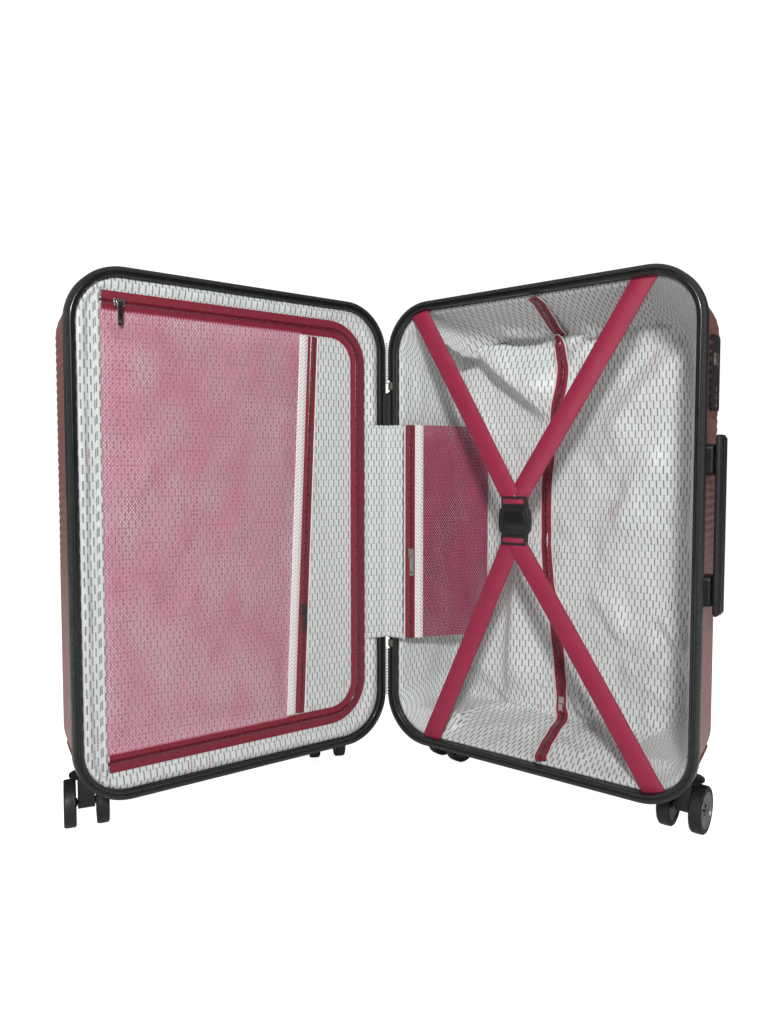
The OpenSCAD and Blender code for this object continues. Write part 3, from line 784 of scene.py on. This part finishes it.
def lining(name, place, node, body, depth, folds, counts, seed):
    """A loose sewn lining: folds and crumples raised towards the opening."""
    points, normals, flat, faces = tub(lining_profile(depth), *counts)
    local = flat - [seam, base]
    turned = local @ np.array([[0.8, -0.6], [0.6, 0.8]])
    inward = creases(local, folds)
    inward += 4.0 * np.abs(waves(local, (70, 120), seed)) + 1.5 * waves(local, (26, 34), seed + 1)
    low_part = 1 - fade(local[:, 1], 40, 190)
    sharp = 1 - np.abs(waves(turned, (34, 90), seed + 2, 2))
    inward += (1.6 + 2.6 * low_part) * sharp ** 3
    inward += 1.2 * low_part * waves(local, (14, 18), seed + 3)
    inward = np.clip(inward, 0, 38) * fade(points[:, 1], 14, 46)
    inward *= fade(np.linalg.norm((flat - ZIP_STOP) * [1, 0.6], axis=1), 12, 36)
    columns = len(ring(case_box(0), [1] * 4, *counts[:2])[0])
    points = drape_pockets(points - normals * inward[:, None], columns)
    cloth = [f[::-1] for f in faces]
    obj = weld(piece(name, place, points, cloth, M_LINING, flat, sharp=80))
    thicken(obj, 1.0, -1)
    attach(obj, body)
    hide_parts(node)
    walls = 2 * (depth + floor_in) - turns_cut
    cut = [(span - 2 * floor_in + walls) * MM for span in (out_u - seam, top_z - base)]
    return obj, tuple(cut), (flat, points)


back_lining, back_cut, BACK_CLOTH = lining("back_lining_cloth", BACK, "back_lining", "back_half",
                                           back_floor, BACK_FOLDS, ((120, 80), 13, 46), 11)
front_lining, front_cut, _ = lining("front_lining_cloth", FRONT, "front_lining", "front_half",
                                    front_floor, [], ((60, 40), 10, 20), 31)


def border():
    """The lid lining's flat border, from the frame in to the divider's seam and zip."""
    outer, _ = ring(case_box(lining_in - 1), [corner_r - lining_in + 1] * 4, (96, 62), 14)
    inner_box = (div_u[0] - 3, div_u[1] + 1, div_z[0] - 3, div_z[1] + 3)
    inner, _ = ring(inner_box, [3, 3, div_r, div_r], (96, 62), 14)
    rows = []
    for t in np.linspace(0, 1, 12):
        p = outer * (1 - t) + inner * t
        crumple = waves(p, (16, 24), 5) * 1.1 + waves(p, (60, 60), 6) * 1.4
        puff = math.sin(math.pi * min(t / 0.56, 1))
        w = 9.4 - 0.8 * fade(t, 0.1, 0.56) - 4.4 * puff + crumple * puff ** 0.5
        rows.append(upright(p, w))
    points = np.concatenate(rows)
    faces = grid(12, len(outer), wrap_columns=True)
    obj = piece("lid_border_cloth", FRONT, points, [f[::-1] for f in faces], M_LINING,
                points[:, [0, 2]], sharp=80)
    thicken(obj, 1.0, -1)
    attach(obj, "front_half")
    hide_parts("divider_border")


border()


# ---- zips and trims ---------------------------------------------------------------------------

def zip_band(name, place, path, out, body, left=8.0, right=8.0):
    """A coil zip: its two tapes with the coil between them, along a path on a surface."""
    step, coil_pitch = 0.9, 2.4
    path, out = resample_pair(path, out, step)
    across, up = sides(path, out)
    tape, crest = 0.5, 1.5
    section = np.array([
        (-left, 0), (-left, tape), (-3.1, tape), (-2.7, crest - 0.3), (-0.6, crest), (-0.2, 0.8),
        (0.2, 0.8), (0.6, crest), (2.7, crest - 0.3), (3.1, tape), (right, tape), (right, 0),
    ])
    varied = np.repeat(section[None], len(path), 0)
    turns = np.sin(np.arange(len(path)) * step * 2 * math.pi / coil_pitch)
    varied[:, 3:5, 1] += 0.22 * turns[:, None]
    varied[:, 7:9, 1] -= 0.22 * turns[:, None]
    points, flat, faces, columns = sweep(path, across, up, varied)
    kinds = [1 if 2 <= c <= 8 else 0 for c in columns]
    obj = piece(name, place, points, faces, [M_TAPE, M_COIL], flat, kinds, 60)
    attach(obj, body)
    return obj


def trim(name, place, path, out, width, thickness, material, body, step=3.0):
    """A flat tape with softly rounded edges along a path."""
    path, out = resample_pair(path, out, step)
    across, up = sides(path, out)
    h, t = width / 2, thickness
    section = [(-h, 0.15), (-h, t * 0.6), (-h + 0.6, t), (h - 0.6, t), (h, t * 0.6), (h, 0.15),
               (h - 0.6, 0), (-h + 0.6, 0)]
    points, flat, faces, _ = sweep(path, across, up, section)
    obj = piece(name, place, points, faces, material, flat, sharp=50)
    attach(obj, body)
    return obj


TOWARDS = (0, -1, 0)      # out of the opening, in either half's own frame


# ---- divider ----------------------------------------------------------------------------------

def divider_wobble(points):
    """How far the divider's cloth stands off its plane."""
    return np.clip(1.3 * waves(points, (90, 140), 3) + 0.5 * waves(points, (22, 30), 4), -2.5, 1.1)


def divider_cloth():
    box = (div_u[0], div_u[1], div_z[0], div_z[1])
    radii = [2, 2, div_r, div_r]
    straight, arc = (100, 66), 10
    rings = [ring(box, radii, straight, arc)[0]] + disc_rings(box, radii, straight, arc, 32)
    flat = np.concatenate(rings)
    w = border_w + 1.2 - divider_wobble(flat) * fade(
        np.minimum.reduce([flat[:, 0] - box[0], box[1] - flat[:, 0], flat[:, 1] - box[2],
                           box[3] - flat[:, 1]]), 16, 60)
    points = upright(flat, w)
    faces = grid(len(rings), len(rings[0]), wrap_columns=True)
    obj = weld(piece("divider_cloth", FRONT, points, [f[::-1] for f in faces], M_LINING,
                     flat, sharp=80))
    thicken(obj, 0.8, -1)
    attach(obj, "divider")
    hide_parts("divider_panel")
    return obj


def divider_u_path():
    """The U zip's path: along the top, down the hinge side and back along the bottom."""
    end = div_u[1] - 5
    corner = np.radians(np.linspace(90, 180, 14))
    top = [(div_u[0] + div_r + div_r * math.cos(a), div_z[1] - div_r + div_r * math.sin(a))
           for a in corner]
    bottom = [(div_u[0] + div_r + div_r * math.cos(a), div_z[0] + div_r + div_r * math.sin(a))
              for a in corner + math.pi / 2]
    flat = np.array([(end, div_z[1])] + top + bottom + [(end, div_z[0])])
    return upright(flat, trim_w + 1.3)


def patch(corners, across, up, height):
    """A four-sided patch between lower left, lower right, upper right and upper left corners."""
    s, t = np.meshgrid(np.linspace(0, 1, across), np.linspace(0, 1, up))
    s, t = s.reshape(-1, 1), t.reshape(-1, 1)
    a, b, c, d = (np.array(p, float) for p in corners)
    flat = a * (1 - s) * (1 - t) + b * s * (1 - t) + c * s * t + d * (1 - s) * t
    edge = np.minimum.reduce([s[:, 0], 1 - s[:, 0], t[:, 0], 1 - t[:, 0]])
    return flat, height(flat) * fade(edge, 0, 0.12)


def divider_net():
    slant = (pz_low[0] - pz_top[0]) / (pz_top[1] - pz_low[1])
    inner_low = pz_low[0] + 20 - slant * (div_z[0] + 10 - pz_low[1])
    inner_top = pz_low[0] + 20 - slant * (div_z[1] - 10 - pz_low[1])
    corners = [(inner_low, div_z[0] + 10), (div_u[1] - 1, div_z[0] + 10),
               (div_u[1] - 1, div_z[1] - 10), (inner_top, div_z[1] - 10)]

    def height(flat):
        turned = np.stack([flat[:, 0] + 0.55 * flat[:, 1], flat[:, 1] - 0.55 * flat[:, 0]], 1)
        rise = 2.8 + 3.2 * waves(turned, (48, 240), 8) + 0.6 * waves(flat, (20, 26), 9)
        return np.clip(rise, 1.9, 8)

    flat, rise = patch(corners, 110, 200, height)
    points = upright(flat, trim_w + 0.7 - rise)
    faces = grid(200, 110)
    obj = piece("divider_net_cloth", FRONT, points, faces, M_NET, flat, sharp=80)
    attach(obj, "divider")
    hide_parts("divider_net")
    return obj


divider_sheet = divider_cloth()
net_sheet = divider_net()
u_zip = zip_band("divider_zip_band", FRONT, divider_u_path(), TOWARDS, "divider", 12.0, 14.0)
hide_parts("divider_zip")


def pocket_line(offset, w, ends=0.0):
    """A line beside the divider's pocket zip, this far off its middle."""
    low_end, high_end = np.array(pz_low, float), np.array(pz_top, float)
    along = unit(high_end - low_end)
    aside = np.array([along[1], -along[0]]) * offset
    p = [low_end + aside + along * ends, high_end + aside - along * ends]
    return [(q[0], w, q[1]) for q in p]


pocket_zip = zip_band("pocket_zip_band", FRONT, pocket_line(0, trim_w + 0.9), TOWARDS, "divider")
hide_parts("pocket_zip")
pocket_trim = trim("pocket_binding_tape", FRONT, pocket_line(15, trim_w + 0.7), TOWARDS, 14, 1.1,
                   M_BINDING, "divider")
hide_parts("pocket_binding")
trim("pocket_piping", FRONT, pocket_line(-9.2, trim_w + 0.8), TOWARDS, 2.2, 1.3, M_BINDING,
     "divider")
seam_line = [(div_u[1] + 1, border_w - 0.4, base + 22), (div_u[1] + 1, border_w - 0.4, top_z - 22)]
trim("divider_seam_tape", FRONT, seam_line, TOWARDS, 7, 0.9, M_LINING, "front_half")


# ---- lining zip -------------------------------------------------------------------------------

def on_back_lining(route, lift):
    """A route over the unfolded cloth, as points this far in front of it and their directions.
    It clears the folds within reach of its tapes, up to a limit."""
    flat, points = BACK_CLOTH
    reach, limit = 13, 9
    placed = []
    for place in route:
        distance = np.linalg.norm(flat - place, axis=1)
        near = np.argsort(distance)[:6]
        share = 1 / (distance[near] + 0.5) ** 2
        placed.append((points[near] * share[:, None]).sum(0) / share.sum())
    placed = np.array(placed)
    for _ in range(3):
        placed[1:-1] = (placed[:-2] + 2 * placed[1:-1] + placed[2:]) / 4
    middle = np.array([mid_u, 30.0, mid_z])
    towards = middle - placed
    towards[:, 0] = 0
    along = unit(np.gradient(placed, axis=0))
    towards -= along * np.sum(towards * along, 1, keepdims=True)
    towards = unit(towards)
    over = []
    for spot, at, out in zip(route, placed, towards):
        close = np.linalg.norm(flat - spot, axis=1) < reach
        over.append(np.clip(((points[close] - at) @ out).max(), 0, limit))
    over = np.max([np.roll(over, shift) for shift in (-2, -1, 0, 1, 2)], 0)
    for _ in range(6):
        over[1:-1] = (over[:-2] + 2 * over[1:-1] + over[2:]) / 4
    return placed + towards * (over[:, None] + lift), towards


# The lining's zip on the unfolded cloth, from the top rim to the bottom rim
ZIP_ROUTE = smooth_path([(254, 825), (253, 803), (247, 757), (245, 716), (246, 690), (248, 650),
                         (244, 610), (231, 550), (221, 495), (218, 440), (220, 377), (227, 314),
                         (235, 252), (244, 189), (248, 150), (247.5, 126), (247.5, 108), (254, 92),
                         (259, 69), (261, 36), (264, -2), (268, -26)], 8)
zip_line, zip_out = on_back_lining(resample(ZIP_ROUTE, 4), 0.8)
lining_zip = zip_band("lining_zip_band", BACK, zip_line, zip_out, "back_half", 8.2, 8.2)
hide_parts("lining_zip")
zip_side = unit(np.cross(np.gradient(zip_line, axis=0), zip_out))
for label, aside in (("left", -9.3), ("right", 9.3)):
    trim("lining_zip_piping_" + label, BACK, zip_line + zip_side * aside, zip_out, 1.8, 1.2,
         M_PIPING, "back_half")


# ---- straps and buckle ------------------------------------------------------------------------

STRAPS = [
    ("upper_left", (66, 664), (-5, 34), 6.4),
    ("upper_right", (404, 671), (5, 34), 8.2),
    ("lower_left", (92, 38), (-5, -32), 8.2),
    ("lower_right", (419, 41), (5, -32), 6.4),
]


def tuck_under(obj, inset):
    """Ends a piece of the back half under its frame, this far inside the case's outline."""
    low = np.array([seam, base]) + corner_r
    high = np.array([out_u, top_z]) - corner_r
    for vertex in obj.data.vertices:
        at = np.array([vertex.co.x, vertex.co.z]) / MM
        core = np.clip(at, low, high)
        reach = np.linalg.norm(at - core)
        if reach > corner_r - inset:
            vertex.co.x, vertex.co.z = (core + (at - core) * (corner_r - inset) / reach) * MM
    return obj


def strap_piece(label, start, end, depth):
    """One elastic strap from the lining's rim to the buckle's bar, sagging a little."""
    a = np.array([seam + start[0], depth - 2.0, base + start[1]])
    b = np.array([buckle_u + end[0], depth, buckle_z + end[1]])
    a = a + unit(a - b) * 42 + np.array([0, 4.0, 0])
    t = np.linspace(0, 1, 60)[:, None]
    path = a * (1 - t) + b * t
    path[:, 1] += 2.2 * np.sin(math.pi * t[:, 0]) + 2.0 * (1 - fade(t[:, 0], 0, 0.06))
    strap = trim("strap_" + label, BACK, path, TOWARDS, strap_width, 1.3, M_WEBBING,
                 "back_half", 4.0)
    return tuck_under(strap, 6.5)


straps = [strap_piece(*row) for row in STRAPS]
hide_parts("compression_straps")


def strap_loop(name, z, sign):
    """The strap's turn round a buckle bar."""
    angle = np.radians(np.linspace(-100, 100, 16))
    path = [(buckle_u, 8.0 - 3.4 * math.cos(a), z + sign * 3.6 * math.sin(a)) for a in angle]
    trim(name, BACK, path, TOWARDS, 34, 1.2, M_WEBBING, "back_half", 1.0)


def buckle_plate(name, points, w_back, w_front, bevel, material=M_BLACK):
    """A plate of the buckle from an outline of (u, z) points, between two depths."""
    mesh = bpy.data.meshes.new(name)
    shape = bmesh.new()
    below = [shape.verts.new((u * MM, w_back * MM, z * MM)) for u, z in points]
    face = shape.faces.new(below)
    grown = bmesh.ops.extrude_face_region(shape, geom=[face])
    for v in [g for g in grown["geom"] if isinstance(g, bmesh.types.BMVert)]:
        v.co.y = w_front * MM
    bmesh.ops.recalc_face_normals(shape, faces=shape.faces)
    shape.to_mesh(mesh)
    shape.free()
    mesh.materials.append(material)
    obj = bpy.data.objects.new(name, mesh)
    bpy.context.scene.collection.objects.link(obj)
    round_edges(obj, bevel, 3, 40)
    apply_modifiers(obj)
    obj.data.shade_smooth()
    obj.data.set_sharp_from_angle(angle=math.radians(35))
    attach(obj, "back_half")
    return obj


def barrel(half_w, half_h, bulge, corner):
    """A rounded box whose two sides bulge, as (u, z) points about the buckle's middle."""
    p, _ = ring((-half_w, half_w, -half_h, half_h), [corner] * 4, (14, 8), 6)
    swell = bulge * (1 - (p[:, 1] / half_h) ** 2)
    p[:, 0] += np.sign(p[:, 0]) * np.clip(swell, 0, None)
    return [(buckle_u + u, buckle_z + z) for u, z in p]


def box_outline(u0, u1, z0, z1):
    return [(u0, z0), (u1, z0), (u1, z1), (u0, z1)]


def buckle():
    body = buckle_plate("buckle_body", barrel(22, 20.5, 3.0, 7), 15, 4.2, 1.6)
    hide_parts("buckle_socket")
    buckle_plate("buckle_window_rim", barrel(18.5, 15.5, 1.6, 6), 4.6, 3.2, 0.6)
    buckle_plate("buckle_press_face", barrel(16.5, 13.5, 1.0, 5), 4.2, 2.5, 1.4, M_GLOSS)
    for sign, level in ((1, "upper"), (-1, "lower")):
        for name, z in (("outer", 33.5), ("inner", 22.5)):
            p = box_outline(buckle_u - 20, buckle_u + 20, buckle_z + sign * (z - 2),
                            buckle_z + sign * (z + 2))
            buckle_plate(f"buckle_{level}_{name}_bar", p, 12, 4.6, 1.2)
        for side, hand in ((1, "right"), (-1, "left")):
            u0, u1 = sorted((buckle_u + side * 16.5, buckle_u + side * 20.5))
            z0, z1 = sorted((buckle_z + sign * 19, buckle_z + sign * 35.5))
            buckle_plate(f"buckle_{level}_{hand}_rail", box_outline(u0, u1, z0, z1), 12.4, 4.2, 1.2)
    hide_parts("buckle_plug")


buckle()
strap_loop("strap_loop_upper", buckle_z + 28, 1)
strap_loop("strap_loop_lower", buckle_z - 28, 1)


# ---- hinge flap, hinge band and closed chain --------------------------------------------------

def from_back(u, w):
    return np.array([u, w])


def from_front(u, w):
    """A point of the front half's plan, in the back half's (u, w)."""
    x, y, _ = FRONT @ Vector((u, w, 0))
    return np.array([x, y]) / MM


def flap_route():
    """The flap's plan from the lid's rim, over the hinge, to the back lining's floor."""
    start = [from_front(seam + 34, 4.2), from_front(seam + 22, 1.0), from_front(seam + 12, -0.8),
             from_front(4, -1.2)]
    bridge = [from_back(4, -1.4), from_back(seam + 14, -0.4)]
    inside = [from_back(seam + 30, 0.8)]
    return smooth_path(start + bridge + inside, 8)


def sheet_along(name, plan, z_range, step, material, lift=0.0, rows=60, ripple=0.0, seed=0,
                calm=0.1):
    """A sheet that follows a plan of (x, y) points and stands over a range of heights."""
    plan = resample(plan, step)
    along = unit(np.gradient(plan, axis=0))
    front = np.stack([along[:, 1], -along[:, 0]], 1)
    run = distances(plan)
    heights = np.linspace(*z_range, rows)
    s, z = np.meshgrid(run, heights)
    flat = np.stack([s.ravel(), z.ravel()], 1)
    edge = np.minimum(flat[:, 0], run[-1] - flat[:, 0])
    offset = lift + ripple * waves(flat, (40, 90), seed) * fade(edge, 0, calm)
    index = np.tile(np.arange(len(plan)), rows)
    xy = plan[index] + front[index] * offset[:, None]
    points = np.stack([xy[:, 0], xy[:, 1], flat[:, 1]], 1)
    return piece(name, BACK, points, grid(rows, len(plan)), material, flat, sharp=80)


flap_print = sheet_along("flap_strip", flap_route(), flap_z, 2.0, M_LINING, lift=0.5,
                         rows=80, ripple=0.5, seed=21)
thicken(flap_print, 0.8)
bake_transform(flap_print)
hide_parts("flap_lid_edge")

flap_dir = np.subtract(flap_to, flap_from)
flap_len = np.linalg.norm(flap_dir)
flap_dir = flap_dir / flap_len


def on_flap(along, lift=0.0):
    """A point of the flap's plan: this far from the frame's edge, and lifted to the front."""
    side = np.array([flap_dir[1], -flap_dir[0]])
    return np.array(flap_from) + flap_dir * along + side * lift


def flap_line(along, lift):
    u, w = on_flap(along, lift)
    return [(u, w, flap_z[0]), (u, w, flap_z[1])]


def flap_out():
    return (flap_dir[1], -flap_dir[0], 0)


net_plan = [on_flap(19, 0.2), on_flap(flap_len - 2, 0.2)]
flap_net = sheet_along("flap_net_cloth", net_plan, flap_z, 2.5, M_FLAP_NET, rows=90,
                       ripple=1.8, seed=22, calm=34)
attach(flap_net, "back_half")
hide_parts("hinge_flap")
flap_zip = zip_band("flap_zip_band", BACK, flap_line(11, 0.2), flap_out(), "back_half")
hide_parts("flap_zip")
trim("flap_binding", BACK, flap_line(26, 0.5), flap_out(), 14, 1.1, M_BINDING,
     "back_half")
trim("flap_piping", BACK, flap_line(1.6, 0.3), flap_out(), 2.0, 1.3, M_PIPING,
     "back_half")


def hinge_band():
    """The dark fabric band between the two frames' edges along the hinge."""
    plan = smooth_path([from_front(6.4, 1.9), from_front(3.4, 0.5), from_front(0.6, 0.2),
                        from_back(0.6, 0.2), from_back(3.4, 0.5), from_back(6.4, 1.9)], 5)
    obj = sheet_along("hinge_band_cloth", plan, (hinge_lo, hinge_hi), 0.8, M_BAND,
                      rows=40)
    thicken(obj, 0.9)
    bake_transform(obj)
    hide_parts("hinge_strip")


hinge_band()


def hinge_chain(name, z0, z1):
    """The closed stretch of the main zip beyond each end of the hinge band."""
    z = np.arange(z0, z1, 2.6)
    u = 0.6 * (-1) ** np.arange(len(z))
    points = np.stack([u, np.full(len(z), -0.4), z], 1)
    out = np.tile([0.45, -0.89, 0.0], (len(z), 1))
    along = np.tile([0.0, 0.0, 1.0], (len(z), 1))
    placed, faces = beads(points, along, out, (1.8, 3.4, 1.5))
    obj = piece(name, BACK, placed, faces, M_CHAIN)
    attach(obj, "back_half")


hinge_chain("hinge_chain_upper", hinge_hi + 16, base + 640)
hinge_chain("hinge_chain_lower", base + 70, hinge_lo - 18)


# ---- small zip sliders ------------------------------------------------------------------------

for label, metal, pull_metal in (
    ("divider", M_METAL, M_DARK_METAL), ("pocket", M_DARK_METAL, M_DARK_METAL),
    ("flap", M_METAL, M_METAL), ("lining", M_METAL, M_METAL),
):
    finish_node(label + "_slider", metal, 0.5)
    finish_node(label + "_pull", pull_metal, 0.3)


# ---- casters ----------------------------------------------------------------------------------

def lathe(profile, count):
    """Turns (along the axle, radius) points about the X axis."""
    angle = np.linspace(0, 2 * math.pi, count, endpoint=False)
    x, r = np.array(profile, float).T
    points = np.stack([np.tile(x, count), np.outer(np.cos(angle), r).ravel(),
                       np.outer(np.sin(angle), r).ravel()], 1)
    return points, grid(count, len(x), True, False)


def wheel_set(label):
    """Two wheels on their axle, where the CAD's spin joint has them."""
    joint = joints["spin_" + label]
    axis = Vector(joint["axis"]).normalized()
    turn = Vector((1, 0, 0)).rotation_difference(axis).to_matrix().to_4x4()
    place = Matrix.Translation(Vector(joint["pos_m"])) @ turn @ BACK
    radius, half_t, offset, spokes = 32, 8, 21, 10
    body = "wheels_" + label
    tyres, rims, hubs = ([], []), ([], []), ([], [])

    def gather(store, points, faces):
        start = sum(len(p) for p in store[0])
        store[0].append(points)
        store[1].extend(tuple(i + start for i in f) for f in faces)

    for side in (1, -1):
        tyre = [(-half_t, 24), (-half_t, 30.4), (-half_t + 1.6, 31.8), (-2, radius), (2, radius),
                (half_t - 1.6, 31.8), (half_t, 30.4), (half_t, 24.6), (half_t - 1.2, 24)]
        rim = [(half_t - 1.2, 24.2), (half_t + 0.1, 23.8), (half_t + 0.1, 22.6),
               (half_t - 2.5, 21.8)]
        hub = [(half_t - 3, 22.4), (half_t - 4, 9), (half_t - 0.6, 8.4), (half_t + 0.2, 7.4),
               (half_t + 0.2, 3.2), (half_t - 1.2, 2.4), (half_t - 1.2, 0.1)]
        back = [(-half_t + 0.8, 24.2), (-half_t + 0.8, 6), (-half_t - 1.6, 5.4),
                (-half_t - 1.6, 0.1)]
        for store, profile in ((tyres, tyre), (rims, rim), (hubs, hub), (hubs, back)):
            points, faces = lathe(profile, 64)
            points = points * [side, 1, 1] + [side * offset, 0, 0]
            gather(store, points, faces if side > 0 else [f[::-1] for f in faces])
        for k in range(spokes):
            a = 2 * math.pi * (k + 0.5 * (side < 0)) / spokes
            for lean in (-0.13, 0.13):
                inner, outer = a + lean * 0.3, a + lean
                start = np.array([half_t - 1.4, 8 * math.cos(inner), 8 * math.sin(inner)])
                end = np.array([half_t - 1.8, 22.6 * math.cos(outer), 22.6 * math.sin(outer)])
                path = np.stack([start + (end - start) * t for t in (0, 0.5, 1)])
                across, up = sides(path, (1, 0, 0))
                section = [(-0.6, -1.2), (-0.45, 1.0), (0.45, 1.0), (0.6, -1.2)]
                points, _, faces, _ = sweep(path, across, up, section)
                points = points * [side, 1, 1] + [side * offset, 0, 0]
                gather(rims, points, faces if side > 0 else [f[::-1] for f in faces])
    axle, faces = lathe([(-26, 3), (26, 3)], 24)
    gather(hubs, axle, faces)
    for name, store, material in (("tyres_", tyres, M_TYRE), ("rims_", rims, M_GREY),
                                  ("hubs_", hubs, M_GLOSS)):
        obj = piece(name + label, place, np.concatenate(store[0]), store[1], material,
                    sharp=35)
        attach(obj, body)
    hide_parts(body)


for label in ("back_outer", "back_hinge", "front_outer", "front_hinge"):
    wheel_set(label)
    finish_node("fork_" + label, M_BLACK, 1.2)


# ---- handles, lock, trolley and the rest of the CAD -------------------------------------------

for node, material, width in (
    ("back_caster_housings", M_BLACK, 1.2), ("front_caster_housings", M_BLACK, 1.2),
    ("back_corner_guards", M_SHELL, 1.0), ("front_corner_guards", M_SHELL, 1.0),
    ("side_handle_mounts", M_BLACK, 1.5), ("top_handle_mounts", M_BLACK, 1.5),
    ("side_handle_grip", M_BLACK, 1.4), ("top_handle_grip", M_BLACK, 1.4),
    ("lock_body", M_GLOSS, 0.8), ("lock_button", M_METAL, 0.6),
    ("lock_dial_1", M_METAL, 0.2), ("lock_dial_2", M_METAL, 0.2), ("lock_dial_3", M_METAL, 0.2),
    ("trolley_sleeves", M_TUBE, 0.0), ("trolley_tubes", M_TUBE, 0.6), ("trolley_base", M_BLACK, 1.0),
    ("trolley_cup", M_BLACK, 0.8), ("trolley_grip", M_BLACK, 1.5), ("trolley_button", M_GREY, 0.6),
    ("case_screws", M_METAL, 0.2), ("main_sliders", M_BRONZE, 0.6),
    ("back_zip_tape", M_DARK_TAPE, 0.0), ("front_zip_tape", M_DARK_TAPE, 0.0),
):
    finish_node(node, material, width)


# ---- floor, light and camera ------------------------------------------------------------------

def studio():
    floor = bpy.data.meshes.new("floor")
    size = 14.0
    floor.from_pydata([(-size, -size, 0), (size, -size, 0), (size, size, 0), (-size, size, 0)], [],
                      [(0, 1, 2, 3)])
    pale = Shader("Pale floor", roughness=0.9, emission_color=(1, 1, 1, 1))
    seen = pale.add("LightPath").outputs["Is Camera Ray"]
    glow = pale.add("MapRange", seen, 0.0, 1.0, 0.11, 0.93)
    pale.tree.links.new(glow.outputs[0], pale.surface.inputs["Emission Strength"])
    pale.colour(pale.mix(pale.noise(2.0), srgb("#f2f2f1"), srgb("#f6f6f5")))
    floor.materials.append(pale.material)
    ground = bpy.data.objects.new("floor", floor)
    bpy.context.scene.collection.objects.link(ground)
    world = bpy.data.worlds.new("Studio")
    world.use_nodes = True
    tree = world.node_tree
    background = tree.nodes["Background"]
    background.inputs[0].default_value = (1, 1, 1, 1)
    seen = tree.nodes.new("ShaderNodeLightPath").outputs["Is Camera Ray"]
    strength = tree.nodes.new("ShaderNodeMapRange")
    strength.inputs["To Min"].default_value = 0.105
    strength.inputs["To Max"].default_value = 1.05
    tree.links.new(seen, strength.inputs["Value"])
    tree.links.new(strength.outputs[0], background.inputs[1])
    bpy.context.scene.world = world


def lamp(name, place, aim, size, power):
    light = bpy.data.lights.new(name, "AREA")
    light.shape = "DISK"
    light.size = size
    light.energy = power
    obj = bpy.data.objects.new(name, light)
    obj.location = place
    obj.rotation_euler = (Vector(aim) - Vector(place)).to_track_quat("-Z", "Y").to_euler()
    bpy.context.scene.collection.objects.link(obj)


def camera():
    """The viewpoint: in front of the opening, a little above the case's middle."""
    azimuth, pitch = 38.55, 2.96
    data = bpy.data.cameras.new("camera")
    data.lens = 27.42
    data.sensor_fit = "VERTICAL"
    data.sensor_height = 36
    obj = bpy.data.objects.new("camera", data)
    obj.location = (0.783, -0.990, 0.485)
    obj.rotation_euler = (math.radians(90 - pitch), 0, math.radians(azimuth))
    bpy.context.scene.collection.objects.link(obj)
    bpy.context.scene.camera = obj


studio()
lamp("key", (1.55, -2.15, 1.60), (0.1, 0, 0.4), 0.35, 63)
lamp("front", (0.4, -2.6, 1.5), (0.1, 0, 0.4), 1.6, 6)
lamp("left", (-2.2, -1.0, 1.6), (0, 0, 0.4), 1.6, 4)
lamp("back", (-1.2, 2.6, 1.9), (0.1, 0, 0.4), 1.8, 16)
camera()
bpy.context.scene.view_settings.view_transform = "Standard"
